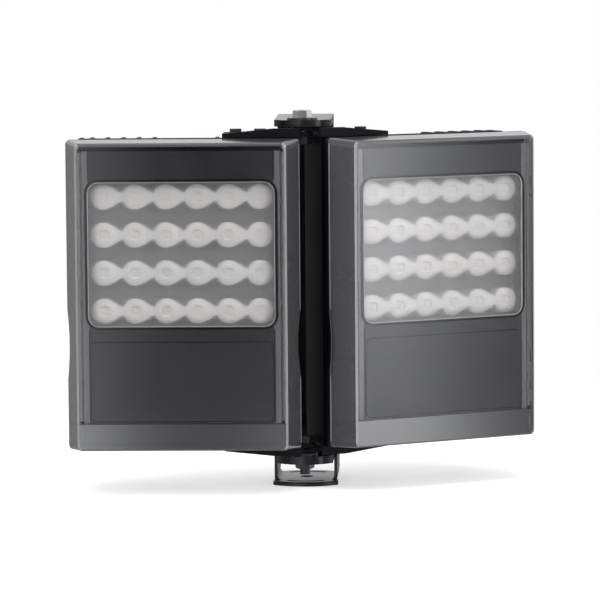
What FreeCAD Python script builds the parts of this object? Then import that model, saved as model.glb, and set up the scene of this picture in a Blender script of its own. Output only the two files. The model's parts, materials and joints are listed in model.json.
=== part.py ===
import FreeCAD, Part
import math
import os

import Sketcher

# Infrared illuminator: two identical LED panels on a folding double bracket.
# The row frame stands on the wall or ceiling plate: +Z up, the beam goes to -Y, +X to the right seen
# from the front, and the origin is the centre of the base plate's fixing face.
# A panel has its own frame: u across it, v from its front face to its back, height from its lower rim.

os.makedirs("parts", exist_ok=True)
doc = FreeCAD.newDocument("infrared_illuminator")
V = FreeCAD.Vector

# Driving sizes in millimetres and degrees
SIZES = {
    # Panel outline and the tapered window cover
    "panel_height": 240,
    "rim_width": 180.4,
    "front_width": 161.4,
    "cover_depth": 25.7,
    "end_taper": 1.8,
    "cover_wall": 3,
    "cover_corner": 3.5,
    "cover_edge": 1.2,
    "scoop_depth": 2,
    "scoop_radius": 185,
    "scoop_height": 82,
    "seal_inset": 0.5,
    "seal_thickness": 0.8,
    "cap_height": 22.2,
    "cap_joint": 0.2,
    "cap_recess": 0.8,
    "cap_frame": 5,
    "cap_frame_top": 2,
    # Cast housing with its flange, tray, back plate and fins
    "flange_thickness": 4,
    "waist_inset": 14.2,
    "waist_end_inset": 4,
    "tray_wall": 8,
    "waist_back": 50,
    "waist_corner": 6,
    "tray_corner": 4,
    "plate_thickness": 5,
    "plate_inset": 7.7,
    "plate_end_inset": 0.4,
    "fin_back": 82,
    "side_fin_back": 77,
    "fin_first": 24.5,
    "fin_edge": 9.2,
    "fins_each_side": 5,
    "fin_thickness": 2.4,
    "fin_corner": 8,
    "gland_height": 48,
    # Window, lens sheet, lenses and LED board
    "bezel_inset": 4.7,
    "bezel_foot_gap": 0.4,
    "bezel_head_gap": 8.1,
    "bezel_front": 5,
    "bezel_skin": 2,
    "bezel_bar": 4,
    "bezel_wall": 1.6,
    "bezel_step": 1,
    "bezel_step_width": 5.2,
    "tab_rise": 1.8,
    "tab_height": 5,
    "tab_depth": 4,
    "window_low": 96.9,
    "window_head": 31.6,
    "window_corner": 8.5,
    "blank_high": 85,
    "blank_low": 24.4,
    "blank_inset": 6,
    "blank_corner": 4,
    "blank_relief": 0.8,
    "sheet_thickness": 1.6,
    "sheet_gap": 0.3,
    "sheet_front": 5.2,
    "lens_radius": 9.8,
    "lens_base_radius": 4.4,
    "lens_length": 9.6,
    "lens_edge": 2,
    "led_size": 3.5,
    "led_rise": 1.2,
    "board_thickness": 1.6,
    "board_overlap": 1.4,
    "board_end_overlap": 3.25,
    "spreader_thickness": 3,
    "spreader_edge": 0.8,
    "spreader_end": 3,
    "board_screw_inset": 2.4,
    "board_screw_end": 3.5,
    "board_screw_length": 12,
    "board_screw_head": 2,
    "board_screw_bore": 9,
    # Driver board in the lower part of the tray
    "driver_inset": 8,
    "driver_height": 66,
    "driver_centre": 60,
    "driver_standoff": 8,
    "driver_thickness": 1.6,
    "standoff_inset": 5,
    "standoff_radius": 3,
    "block_rise": 8,
    "block_foot": 14,
    "block_head": 18,
    "coil_rise": 7,
    "coil_foot": 18,
    "coil_head": 22,
    "capacitor_rise": 6.5,
    "capacitor_radius": 6,
    # Swivel axis and brackets
    "panel_bottom": 35.1,
    "axis_forward": 37,
    "panel_gap": 0.8,
    "axis_depth": 65,
    "swing": 31.3,
    "bolt_radius": 4,
    "running_clearance": 0.08,
    "seat_clearance": 0.05,
    "stack_gap": 0.3,
    "wing_gap": 0.4,
    "wing_thickness": 3,
    "wing_reach": 61,
    "wing_front": 28,
    "wing_back": 10,
    "wing_tip_back": 4,
    "wing_neck": 12,
    "rib_thickness": 3,
    "rib_start": 1,
    "web_start": 10,
    "web_end": 14,
    "web_knee": 28,
    "rib_full": 22,
    "knuckle_radius": 8.3,
    "knuckle_gap": 1,
    "knuckle_layer_gap": 0.8,
    "arm_end": 20,
    "arm_forward": 7,
    "arm_rearward": 6,
    "wing_screw_near": 33,
    "wing_screw_far": 52,
    "thrust_washer": 2.4,
    "thrust_radius": 10,
    # Yoke casting
    "yoke_width": 44,
    "arm_thickness": 6.2,
    "upper_arm_thickness": 5.2,
    "upper_arm_rise": 1.4,
    "washer_land": 1,
    "arm_nose": 11,
    "nose_radius": 26,
    "spine_front": 20,
    "spine_back": 39,
    "yoke_corner": 8,
    "hollow_wall": 6,
    "hollow_foot": 20,
    "hollow_head": 20,
    # U bracket with its slotted base
    "sheet_metal": 2.5,
    "base_thickness": 3.4,
    "base_edge": 1,
    "side_gap": 0.3,
    "bend_radius": 3,
    "base_radius": 37.5,
    "base_width": 51,
    "ear_front": 18.7,
    "ear_shoulder": 22,
    "ear_slope": 7,
    "tilt_back": 28,
    "tilt_height": 60,
    "ear_radius": 12,
    "centre_hole": 5.25,
    "slot_circle": 28.5,
    "slot_width": 4.4,
    "slot_angle": 54,
    # Hardware
    "hex_across": 13,
    "hex_head": 5.9,
    "hex_flat": 0.95,
    "hex_recess": 0.5,
    "hex_recess_radius": 3,
    "thin_nut": 4,
    "full_nut": 6.5,
    "thread_end": 4.4,
    "washer_radius": 12,
    "washer_thickness": 1.6,
    "tilt_washer_radius": 8,
    "tilt_bolt_reach": 14,
    "wing_screw_radius": 2.5,
    "wing_screw_head": 4.6,
    "wing_screw_rise": 2.6,
    "wing_screw_depth": 12,
    "screw_end_gap": 1,
    "boss_wall": 2.6,
    "boss_length": 20,
    "small_screw_radius": 1.5,
    "small_screw_head": 2.7,
    "cap_screw_inset": 20.7,
    "cap_screw_depth": 18,
    "cap_screw_seat": 2.2,
    "cap_screw_sink": 0.6,
    "cap_lug": 8,
    "gland_radius": 8,
    "gland_bore": 3.6,
    "gland_boss": 4,
    "gland_boss_wall": 6,
    "gland_thread": 8,
    "gland_hex": 22,
    "gland_hex_rise": 4,
    "gland_neck": 7,
    "gland_neck_inset": 0.6,
    "nut_hex": 20,
    "nut_gap": 0.3,
    "nut_grip": 8,
    "nut_dome": 6,
    "nut_flare": 1.2,
    "nut_lip": 1.6,
    "nut_bore_inset": 0.5,
    "nut_bore": 7.4,
}

sheet = doc.addObject("Spreadsheet::Sheet", "Sizes")
for row, (alias, number) in enumerate(SIZES.items(), start=1):
    sheet.set("A%d" % row, alias)
    sheet.set("B%d" % row, str(number))
    sheet.setAlias("B%d" % row, alias)
doc.recompute()


class Amount:
    """A length or an angle, kept both as a spreadsheet expression and as its present value."""

    def __init__(self, text, value):
        self.text = text
        self.value = value

    def joined(self, other, sign, value):
        return Amount("(%s %s %s)" % (self.text, sign, amount(other).text), value)

    def __add__(self, other):
        return self.joined(other, "+", self.value + amount(other).value)

    def __radd__(self, other):
        return amount(other) + self

    def __sub__(self, other):
        return self.joined(other, "-", self.value - amount(other).value)

    def __rsub__(self, other):
        return amount(other) - self

    def __mul__(self, other):
        return self.joined(other, "*", self.value * amount(other).value)

    def __rmul__(self, other):
        return amount(other) * self

    def __truediv__(self, other):
        return self.joined(other, "/", self.value / amount(other).value)

    def __neg__(self):
        return amount(0) - self


def amount(thing):
    return thing if isinstance(thing, Amount) else Amount(repr(thing), thing)


def of(alias):
    return Amount("Sizes." + alias, float(getattr(sheet, alias)))


def sine(angle):
    return Amount("sin(%s * 1 deg)" % angle.text, math.sin(math.radians(angle.value)))


def cosine(angle):
    return Amount("cos(%s * 1 deg)" % angle.text, math.cos(math.radians(angle.value)))


def bind(thing, path, size):
    thing.setExpression(path, amount(size).text)


# Sketches and features of a PartDesign body
def new_body(name):
    body = doc.addObject("PartDesign::Body", name)
    body.Label = name
    return body


def new_sketch(body, plane, offset=0):
    """A sketch on one of the body's own planes: XY looks up, XZ looks forward, YZ looks right."""
    sketch = body.newObject("Sketcher::SketchObject", body.Name + "_sketch")
    support = [item for item in body.Origin.OriginFeatures if item.Role == plane + "_Plane"][0]
    sketch.AttachmentSupport = [(support, "")]
    sketch.MapMode = "FlatFace"
    bind(sketch, "AttachmentOffset.Base.z", offset)
    return sketch


def fix_point(sketch, curve, end, x, y):
    for kind, place in (("DistanceX", amount(x)), ("DistanceY", amount(y))):
        index = sketch.addConstraint(Sketcher.Constraint(kind, -1, 1, curve, end, place.value))
        bind(sketch, "Constraints[%d]" % index, place)


def draw_outline(sketch, points):
    """A closed outline of straight edges through points given as pairs of amounts."""
    ends = [V(amount(x).value, amount(y).value, 0) for x, y in points]
    first = sketch.GeometryCount
    for here, there in zip(ends, ends[1:] + ends[:1]):
        sketch.addGeometry(Part.LineSegment(here, there))
    for index, (x, y) in enumerate(points):
        following = first + (index + 1) % len(points)
        sketch.addConstraint(Sketcher.Constraint("Coincident", first + index, 2, following, 1))
        fix_point(sketch, first + index, 1, x, y)


def draw_box(sketch, left, right, low, high):
    draw_outline(sketch, [(left, low), (right, low), (right, high), (left, high)])


def draw_rounded(sketch, half_width, low, high, radius):
    """A rectangle centred across the sketch, with equal rounded corners."""
    wide, bottom, top, round_off = [amount(item).value for item in (half_width, low, high, radius)]
    in_x, in_low, in_high = wide - round_off, bottom + round_off, top - round_off
    first = sketch.GeometryCount
    sides = [
        (V(-in_x, bottom, 0), V(in_x, bottom, 0)),
        (V(wide, in_low, 0), V(wide, in_high, 0)),
        (V(in_x, top, 0), V(-in_x, top, 0)),
        (V(-wide, in_high, 0), V(-wide, in_low, 0)),
    ]
    for start, end in sides:
        sketch.addGeometry(Part.LineSegment(start, end))
    centres = [V(in_x, in_low, 0), V(in_x, in_high, 0), V(-in_x, in_high, 0), V(-in_x, in_low, 0)]
    for quarter, centre in enumerate(centres):
        circle = Part.Circle(centre, V(0, 0, 1), round_off)
        start = math.radians(-90 + 90 * quarter)
        sketch.addGeometry(Part.ArcOfCircle(circle, start, start + math.pi / 2))
    for quarter in range(4):
        arc, following = first + 4 + quarter, first + (quarter + 1) % 4
        sketch.addConstraint(Sketcher.Constraint("Tangent", first + quarter, 2, arc, 1))
        sketch.addConstraint(Sketcher.Constraint("Tangent", arc, 2, following, 1))
    for quarter in (1, 2, 3):
        sketch.addConstraint(Sketcher.Constraint("Equal", first + 4, first + 4 + quarter))
    index = sketch.addConstraint(Sketcher.Constraint("Radius", first + 4, round_off))
    bind(sketch, "Constraints[%d]" % index, radius)
    for side, kind in ((0, "Horizontal"), (1, "Vertical"), (2, "Horizontal"), (3, "Vertical")):
        sketch.addConstraint(Sketcher.Constraint(kind, first + side))
    places = [(0, "DistanceY", low), (2, "DistanceY", high), (1, "DistanceX", half_width),
              (3, "DistanceX", -amount(half_width))]
    for side, kind, place in places:
        value = amount(place).value
        index = sketch.addConstraint(Sketcher.Constraint(kind, -1, 1, first + side, 1, value))
        bind(sketch, "Constraints[%d]" % index, place)


def draw_circle(sketch, x, y, radius):
    centre = V(amount(x).value, amount(y).value, 0)
    curve = sketch.addGeometry(Part.Circle(centre, V(0, 0, 1), amount(radius).value))
    fix_point(sketch, curve, 3, x, y)
    index = sketch.addConstraint(Sketcher.Constraint("Radius", curve, amount(radius).value))
    bind(sketch, "Constraints[%d]" % index, radius)


def raise_pad(body, sketch, length, backward=False, midplane=False):
    pad = body.newObject("PartDesign::Pad", body.Name + "_pad")
    pad.Profile = sketch
    pad.Reversed = backward
    pad.Midplane = midplane
    bind(pad, "Length", length)
    body.Tip = pad
    return pad


def cut_pocket(body, sketch, length, backward=False, midplane=False):
    pocket = body.newObject("PartDesign::Pocket", body.Name + "_pocket")
    pocket.Profile = sketch
    pocket.Reversed = backward
    pocket.Midplane = midplane
    bind(pocket, "Length", length)
    body.Tip = pocket
    return pocket


def add_slab(body, front, back, draw):
    """A pad from depth front to depth back, its outline drawn in the plane across the panel."""
    sketch = new_sketch(body, "XZ", -amount(front))
    draw(sketch)
    return raise_pad(body, sketch, amount(back) - front, backward=True)


def cut_slab(body, front, back, draw):
    sketch = new_sketch(body, "XZ", -amount(front))
    draw(sketch)
    return cut_pocket(body, sketch, amount(back) - front)


def add_layer(body, low, high, draw):
    """A pad from one height to another, its outline drawn in plan."""
    sketch = new_sketch(body, "XY", low)
    draw(sketch)
    return raise_pad(body, sketch, amount(high) - low)


def cut_layer(body, low, high, draw):
    sketch = new_sketch(body, "XY", high)
    draw(sketch)
    return cut_pocket(body, sketch, amount(high) - low)


def round_edges(body, radius, chosen):
    """Rounds the edges of the body's last feature whose two ends pass the test chosen."""
    doc.recompute()
    base = body.Tip
    names = []
    for index, edge in enumerate(base.Shape.Edges, start=1):
        if len(edge.Vertexes) == 2 and chosen(edge.Vertexes[0].Point, edge.Vertexes[1].Point):
            names.append("Edge%d" % index)
    fillet = body.newObject("PartDesign::Fillet", body.Name + "_fillet")
    fillet.Base = (base, names)
    bind(fillet, "Radius", radius)
    body.Tip = fillet
    return fillet


def near(first, second):
    return abs(first - amount(second).value) < 0.01


def value_of(size):
    return size.value


def between(first, second):
    return sorted((amount(first), amount(second)), key=value_of)


# Widths that follow the panel's outline
rim_half = of("rim_width") / 2
front_half = of("front_width") / 2
axis_side = rim_half + of("panel_gap")
waist_half = rim_half - of("waist_inset")
plate_half = rim_half - of("plate_inset")
fin_pitch = (plate_half - of("fin_first") - of("fin_edge")) / (of("fins_each_side") - 1)
bezel_half = front_half - of("bezel_inset")
window_half = bezel_half - of("bezel_bar")
board_half = window_half + of("board_overlap")
spreader_half = board_half + of("spreader_edge")
board_screw_across = board_half - of("board_screw_inset")
driver_half = waist_half - of("tray_wall") - of("driver_inset")
cap_screw_across = front_half - of("cap_screw_inset")

# Places of the two panels on the vertical swivel axis
LEFT, RIGHT = -1, 1
SIDE_NAMES = {LEFT: "left", RIGHT: "right"}


def panel_place(side):
    """Moves a piece from the panel's frame to the row frame: the right panel is swung back."""
    turn = FreeCAD.Rotation(V(0, 0, 1), of("swing").value if side == RIGHT else 0)
    axis = V(0, -of("axis_forward").value, of("panel_bottom").value)
    reach = V(side * axis_side.value, -of("axis_depth").value, 0)
    return FreeCAD.Placement(axis, turn).multiply(FreeCAD.Placement(reach, FreeCAD.Rotation()))


panel_top = of("panel_bottom") + of("panel_height")
seal_back = of("cover_depth") + of("seal_thickness")
flange_back = seal_back + of("flange_thickness")
plate_back = of("waist_back") + of("plate_thickness")
window_high = of("panel_height") - of("window_head")
window_middle = (of("window_low") + window_high) / 2
lens_pitch_across = window_half / 3
lens_pitch_up = (window_high - of("window_low") - (of("lens_radius") + of("lens_edge")) * 2) / 3
board_tall = (window_high - of("window_low")) / 2 + of("board_end_overlap")
spreader_tall = board_tall + of("spreader_end")
board_screw_up = board_tall - of("board_screw_end")
spreader_front = seal_back - of("spreader_thickness")
board_front = spreader_front - of("board_thickness")
led_front = board_front - of("led_rise")
waist_low = of("waist_end_inset")
waist_high = of("panel_height") - of("waist_end_inset")
plate_low = of("plate_end_inset")
plate_high = of("panel_height") - of("plate_end_inset")
cap_floor = of("cover_wall") + of("end_taper")
gland_seat = plate_back + of("gland_boss")
pin_bore = of("bolt_radius") + of("running_clearance")
seat_bore = of("bolt_radius") + of("seat_clearance")

pieces = []


def keep(piece, placement=None):
    if placement is not None:
        piece.Placement = placement
    pieces.append(piece)
    return piece


# Tapered window cover and the end cap below it
def add_taper(body, subtract, front, back, half_front, half_back, low, high, drop):
    """A tapered block from depth front to depth back; drop is how far its ends draw in at the front."""
    near_sketch = new_sketch(body, "XZ", -amount(front))
    draw_rounded(near_sketch, half_front, low + drop, high - drop, of("cover_corner"))
    far_sketch = new_sketch(body, "XZ", -amount(back))
    draw_rounded(far_sketch, half_back, low, high, of("cover_corner"))
    kind = "PartDesign::SubtractiveLoft" if subtract else "PartDesign::AdditiveLoft"
    loft = body.newObject(kind, body.Name + "_taper")
    loft.Profile = near_sketch
    loft.Sections = [far_sketch]
    loft.Ruled = True
    body.Tip = loft
    return loft


def tapered_shell(name):
    """The whole front shell: tapered on its four sides, with an even wall and an open back."""
    body = new_body(name)
    low, high = amount(0), of("panel_height")
    # A narrow bevel runs round the front face, before the main taper.
    edge = of("cover_edge")
    share = edge / of("cover_depth")
    edge_half = front_half + (rim_half - front_half) * share
    edge_drop = of("end_taper") * (1 - share)
    add_taper(body, False, 0, edge, front_half - edge, edge_half, low + edge_drop, high - edge_drop,
              of("end_taper") + edge - edge_drop)
    add_taper(body, False, edge, of("cover_depth"), edge_half, rim_half, low, high, edge_drop)
    wall = of("cover_wall")
    share = wall / of("cover_depth")
    inner_front = front_half + (rim_half - front_half) * share - wall
    inner_drop = of("end_taper") * (1 - share)
    add_taper(body, True, wall, of("cover_depth"), inner_front, rim_half - wall,
              low + wall, high - wall, inner_drop)
    return body


def cut_scoops(body, front, back):
    """Shallow finger scoops in the rim's two sides, beside the blank field."""
    centre = rim_half - of("scoop_depth") + of("scoop_radius")
    cut_slab(body, front, back,
             lambda sketch: draw_circle(sketch, centre, of("scoop_height"), of("scoop_radius")))
    cut_slab(body, front, back,
             lambda sketch: draw_circle(sketch, -centre, of("scoop_height"), of("scoop_radius")))


def make_cover(side):
    body = tapered_shell(SIDE_NAMES[side] + "_cover")
    seam = of("cap_height") + of("cap_joint")
    reach = of("rim_width")
    cut_slab(body, 0, of("cover_depth"),
             lambda sketch: draw_box(sketch, -reach, reach, -seam, seam))
    cut_scoops(body, 0, of("cover_depth"))
    keep(body, panel_place(side))


def make_end_cap(side):
    body = tapered_shell(SIDE_NAMES[side] + "_end_cap")
    reach = of("rim_width")
    cut_slab(body, 0, of("cover_depth"),
             lambda sketch: draw_box(sketch, -reach, reach, of("cap_height"),
                                     of("panel_height") * 2))
    frame = of("cap_frame")
    low = of("end_taper") + frame
    cut_slab(body, 0, of("cap_recess"),
             lambda sketch: draw_box(sketch, frame - front_half, front_half - frame, low,
                                     of("cap_height") - of("cap_frame_top")))
    # Two screws go up through the cap's floor into the housing's lugs.
    for across in (-1, 1):
        place = cap_screw_across * across
        cut_layer(body, 0, cap_floor,
                  lambda sketch: draw_circle(sketch, place, of("cap_screw_depth"),
                                             of("small_screw_radius") + of("seat_clearance")))
        cut_layer(body, 0, of("cap_screw_seat"),
                  lambda sketch: draw_circle(sketch, place, of("cap_screw_depth"),
                                             of("small_screw_head") + of("stack_gap")))
    keep(body, panel_place(side))


def make_seal(side):
    body = new_body(SIDE_NAMES[side] + "_window_seal")
    inset, wall, corner = of("seal_inset"), of("cover_wall"), of("cover_corner")
    tall = of("panel_height")
    add_slab(body, of("cover_depth"), seal_back,
             lambda sketch: draw_rounded(sketch, rim_half - inset, inset, tall - inset, corner))
    cut_slab(body, of("cover_depth"), seal_back,
             lambda sketch: draw_rounded(sketch, rim_half - wall, wall, tall - wall, corner))
    cut_scoops(body, of("cover_depth"), seal_back)
    keep(body, panel_place(side))


# Cast housing with cooling fins
def fin_places():
    """Across positions of the long fins on one half of the back."""
    return [of("fin_first") + fin_pitch * count for count in range(int(of("fins_each_side").value))]


def make_housing(side):
    body = new_body(SIDE_NAMES[side] + "_housing")
    low, high = amount(0), of("panel_height")
    add_slab(body, seal_back, flange_back,
             lambda sketch: draw_rounded(sketch, rim_half, low, high, of("cover_corner")))
    cut_scoops(body, seal_back, flange_back)
    add_slab(body, flange_back, of("waist_back"),
             lambda sketch: draw_rounded(sketch, waist_half, waist_low, waist_high,
                                         of("waist_corner")))
    add_slab(body, of("waist_back"), plate_back,
             lambda sketch: draw_box(sketch, -plate_half, plate_half, plate_low, plate_high))
    wall = of("tray_wall")
    cut_slab(body, seal_back, of("waist_back"),
             lambda sketch: draw_rounded(sketch, waist_half - wall, waist_low + wall,
                                         waist_high - wall, of("tray_corner")))
    half = of("fin_thickness") / 2

    def draw_fins(sketch):
        for place in fin_places():
            for across in (-1, 1):
                draw_box(sketch, place * across - half, place * across + half, plate_low, plate_high)

    def draw_side_fins(sketch):
        draw_box(sketch, plate_half - half * 2, plate_half, plate_low, plate_high)
        draw_box(sketch, -plate_half, half * 2 - plate_half, plate_low, plate_high)

    add_slab(body, plate_back, of("fin_back"), draw_fins)
    add_slab(body, plate_back, of("side_fin_back"), draw_side_fins)
    round_edges(body, of("fin_corner"), lambda one, two: near(one.y, two.y) and near(one.z, two.z)
                and (near(one.y, of("fin_back")) or near(one.y, of("side_fin_back")))
                and (near(one.z, plate_low) or near(one.z, plate_high)))
    # Bosses between the fins carry the wings' screws at both ends of the housing.
    boss_radius = of("wing_screw_radius") + of("boss_wall")
    depth = of("axis_depth")
    gap = of("wing_gap")
    for level in (-1, 1):
        root = plate_low + of("boss_length") if level < 0 else plate_high - of("boss_length")
        seat = -gap if level < 0 else high + gap
        bottom, top = (seat, root) if level < 0 else (root, seat)
        for reach in ("wing_screw_near", "wing_screw_far"):
            place = (axis_side - of(reach)) * -side
            add_layer(body, bottom, top,
                      lambda sketch: draw_circle(sketch, place, depth, boss_radius))
        for reach in ("wing_screw_near", "wing_screw_far"):
            place = (axis_side - of(reach)) * -side
            inside = seat + of("wing_screw_depth") * -level
            bottom, top = (seat, inside) if level < 0 else (inside, seat)
            cut_layer(body, bottom, top,
                      lambda sketch: draw_circle(sketch, place, depth,
                                                 of("wing_screw_radius") + of("seat_clearance")))
    # Lugs for the end cap's screws, holes for the board screws, and the cable gland's seat.
    lug = of("cap_lug")
    lug_front = of("cap_screw_depth") - lug / 2
    lug_low = cap_floor - of("end_taper") * lug_front / of("cover_depth") + of("cap_joint")
    for across in (-1, 1):
        place = cap_screw_across * across
        add_slab(body, lug_front, seal_back,
                 lambda sketch: draw_box(sketch, place - lug / 2, place + lug / 2,
                                         lug_low, lug_low + lug))
        cut_layer(body, lug_low, lug_low + lug,
                  lambda sketch: draw_circle(sketch, place, of("cap_screw_depth"),
                                             of("small_screw_radius") + of("seat_clearance")))
        for up in (-1, 1):
            cut_slab(body, seal_back, seal_back + of("board_screw_bore"),
                     lambda sketch: draw_circle(sketch, board_screw_across * across,
                                                window_middle + board_screw_up * up,
                                                of("small_screw_radius") + of("seat_clearance")))
    add_slab(body, plate_back, gland_seat,
             lambda sketch: draw_circle(sketch, amount(0), of("gland_height"),
                                        of("gland_radius") + of("gland_boss_wall")))
    cut_slab(body, of("waist_back"), gland_seat,
             lambda sketch: draw_circle(sketch, amount(0), of("gland_height"),
                                        of("gland_radius") + of("seat_clearance")))
    keep(body, panel_place(side))


# Bezel, lens sheet, lenses and the LED board behind them
def tab_places():
    """Heights of the snap tabs, two beside the window and two beside the blank field."""
    low, high = of("cap_height"), of("panel_height")
    share = (high - low) / 7
    return [low + share, low + share * 3, high - share * 1.5, high - share * 0.7]


def make_bezel(side):
    body = new_body(SIDE_NAMES[side] + "_bezel")
    half, skin = bezel_half, of("bezel_skin")
    front = of("bezel_front")
    low = of("cap_height") + of("bezel_foot_gap")
    high = of("panel_height") - of("bezel_head_gap")
    add_slab(body, front, seal_back, lambda sketch: draw_box(sketch, -half, half, low, high))
    wall = of("bezel_wall")
    cut_slab(body, front + skin, seal_back,
             lambda sketch: draw_box(sketch, wall - half, half - wall, low + wall, high - wall))
    cut_slab(body, front, front + skin,
             lambda sketch: draw_rounded(sketch, window_half, of("window_low"), window_high,
                                         of("window_corner")))
    # The side bars are lower than the middle and carry snap tabs that face the cover's walls.
    inner = half - of("bezel_step_width")
    tab_half = of("tab_height") / 2
    for across in (-1, 1):
        cut_slab(body, front, front + of("bezel_step"),
                 lambda sketch: draw_box(sketch, *between(inner * across, (half + wall) * across),
                                         low - wall, high + wall))
        for height in tab_places():
            add_slab(body, front + skin, front + skin + of("tab_depth"),
                     lambda sketch: draw_box(sketch, *between(half * across,
                                                              (half + of("tab_rise")) * across),
                                             height - tab_half, height + tab_half))
    add_slab(body, front - of("blank_relief"), front,
             lambda sketch: draw_rounded(sketch, half - of("blank_inset"), of("blank_low"),
                                         of("blank_high"), of("blank_corner")))
    keep(body, panel_place(side))


def make_lens_sheet(side):
    body = new_body(SIDE_NAMES[side] + "_lens_sheet")
    gap = of("sheet_gap")
    front = of("sheet_front")
    add_slab(body, front, front + of("sheet_thickness"),
             lambda sketch: draw_rounded(sketch, window_half - gap, of("window_low") + gap,
                                         window_high - gap, of("window_corner") - gap))
    keep(body, panel_place(side))


def lens_places():
    """Centres of the four rows of six lenses, across and up."""
    places = []
    for row in range(4):
        for column in range(6):
            across = lens_pitch_across * (column - 2.5)
            up = window_middle + lens_pitch_up * (row - 1.5)
            places.append((across, up))
    return places


def make_lenses(side):
    """Collimators: cones that widen from the LED to a flat front."""
    cone = Part.makeCone(of("lens_radius").value, of("lens_base_radius").value,
                         of("lens_length").value, V(0, 0, 0), V(0, 1, 0))
    front = (led_front - of("lens_length")).value
    solids = []
    for across, up in lens_places():
        lens = cone.copy()
        lens.translate(V(across.value, front, up.value))
        solids.append(lens)
    group = doc.addObject("Part::Feature", SIDE_NAMES[side] + "_lenses")
    group.Shape = Part.makeCompound(solids)
    keep(group, panel_place(side))


def make_leds(side):
    body = doc.addObject("Part::Feature", SIDE_NAMES[side] + "_leds")
    half = of("led_size").value / 2
    solids = []
    for across, up in lens_places():
        corner = V(across.value - half, led_front.value, up.value - half)
        solids.append(Part.makeBox(2 * half, of("led_rise").value, 2 * half, corner))
    body.Shape = Part.makeCompound(solids)
    keep(body, panel_place(side))


def board_holes(sketch, radius):
    for across in (-1, 1):
        for up in (-1, 1):
            draw_circle(sketch, board_screw_across * across, window_middle + board_screw_up * up,
                        radius)


def make_boards(side):
    clear = of("small_screw_radius") + of("seat_clearance")
    layers = [("_led_board", board_front, spreader_front, board_half, board_tall),
              ("_heat_spreader", spreader_front, seal_back, spreader_half, spreader_tall)]
    for name, front, back, half, half_tall in layers:
        body = new_body(SIDE_NAMES[side] + name)
        add_slab(body, front, back,
                 lambda sketch: draw_box(sketch, -half, half, window_middle - half_tall,
                                         window_middle + half_tall))
        cut_slab(body, front, back, lambda sketch: board_holes(sketch, clear))
        keep(body, panel_place(side))


def make_board_screws(side):
    """Pan head screws through the LED board and the spreader into the housing's flange."""
    solids = []
    for across in (-1, 1):
        for up in (-1, 1):
            foot = V(board_screw_across.value * across, board_front.value,
                     (window_middle + board_screw_up * up).value)
            shank = Part.makeCylinder(of("small_screw_radius").value,
                                      of("board_screw_length").value, foot, V(0, 1, 0))
            head = Part.makeCylinder(of("small_screw_head").value, of("board_screw_head").value,
                                     foot, V(0, -1, 0))
            solids.append(shank.fuse(head).removeSplitter())
    group = doc.addObject("Part::Feature", SIDE_NAMES[side] + "_board_screws")
    group.Shape = Part.makeCompound(solids)
    keep(group, panel_place(side))


# Driver board, its standoffs and the cable gland
def driver_corners():
    places = []
    inset = of("standoff_inset")
    for across in (-1, 1):
        for up in (-1, 1):
            places.append(((driver_half - inset) * across,
                           of("driver_centre") + (of("driver_height") / 2 - inset) * up))
    return places


def make_driver(side):
    body = new_body(SIDE_NAMES[side] + "_driver_board")
    back = of("waist_back") - of("driver_standoff")
    front = back - of("driver_thickness")
    low = of("driver_centre") - of("driver_height") / 2
    high = of("driver_centre") + of("driver_height") / 2
    half = driver_half
    add_slab(body, front, back, lambda sketch: draw_box(sketch, -half, half, low, high))
    # A transformer block, a coil block and a round capacitor stand on the board's front.
    add_slab(body, front - of("block_rise"), front,
             lambda sketch: draw_box(sketch, half * -0.6, half * -0.15, low + of("block_foot"),
                                     high - of("block_head")))
    add_slab(body, front - of("coil_rise"), front,
             lambda sketch: draw_box(sketch, half * 0.5, half * 0.8, low + of("coil_foot"),
                                     high - of("coil_head")))
    add_slab(body, front - of("capacitor_rise"), front,
             lambda sketch: draw_circle(sketch, half * 0.2, of("driver_centre"),
                                        of("capacitor_radius")))
    keep(body, panel_place(side))
    solids = []
    for across, up in driver_corners():
        solids.append(Part.makeCylinder(of("standoff_radius").value, of("driver_standoff").value,
                                        V(across.value, back.value, up.value), V(0, 1, 0)))
    group = doc.addObject("Part::Feature", SIDE_NAMES[side] + "_standoffs")
    group.Shape = Part.makeCompound(solids)
    keep(group, panel_place(side))


def make_gland(side):
    """Gland body with its thread in the housing and a hexagon, and the domed nut on it."""
    centre = V(0, 0, of("gland_height").value)
    seat = gland_seat.value
    radius, bore = of("gland_radius").value, of("gland_bore").value
    through = of("fin_back").value
    hex_rise = of("gland_hex_rise").value
    along = V(0, 1, 0)

    def prism(across, start, length):
        corner = across / math.sqrt(3)
        ring = [V(corner * math.cos(math.radians(60 * turn)), start,
                  corner * math.sin(math.radians(60 * turn))) + centre for turn in range(6)]
        return Part.Face(Part.makePolygon(ring + ring[:1])).extrude(V(0, length, 0))

    def tube(outer, start, length):
        return Part.makeCylinder(outer, length, centre + V(0, start, 0), along)

    thread = tube(radius, seat - of("gland_thread").value, of("gland_thread").value)
    neck = tube(radius - of("gland_neck_inset").value, seat + hex_rise, of("gland_neck").value)
    gland = thread.fuse([prism(of("gland_hex").value, seat, hex_rise), neck])
    gland = gland.cut(tube(bore, of("waist_back").value, through)).removeSplitter()
    body = doc.addObject("Part::Feature", SIDE_NAMES[side] + "_cable_gland")
    body.Shape = gland
    keep(body, panel_place(side))
    grip_front = seat + hex_rise + of("nut_gap").value
    grip_back = grip_front + of("nut_grip").value
    grip = prism(of("nut_hex").value, grip_front, of("nut_grip").value)
    dome = Part.makeCone(radius + of("nut_flare").value, bore + of("nut_lip").value,
                         of("nut_dome").value, centre + V(0, grip_back, 0), along)
    nut = grip.fuse(dome).cut(tube(radius - of("nut_bore_inset").value, seat + hex_rise,
                                   of("nut_bore").value))
    nut = nut.cut(tube(bore, seat, through))
    body = doc.addObject("Part::Feature", SIDE_NAMES[side] + "_gland_nut")
    body.Shape = nut.removeSplitter()
    keep(body, panel_place(side))


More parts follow.
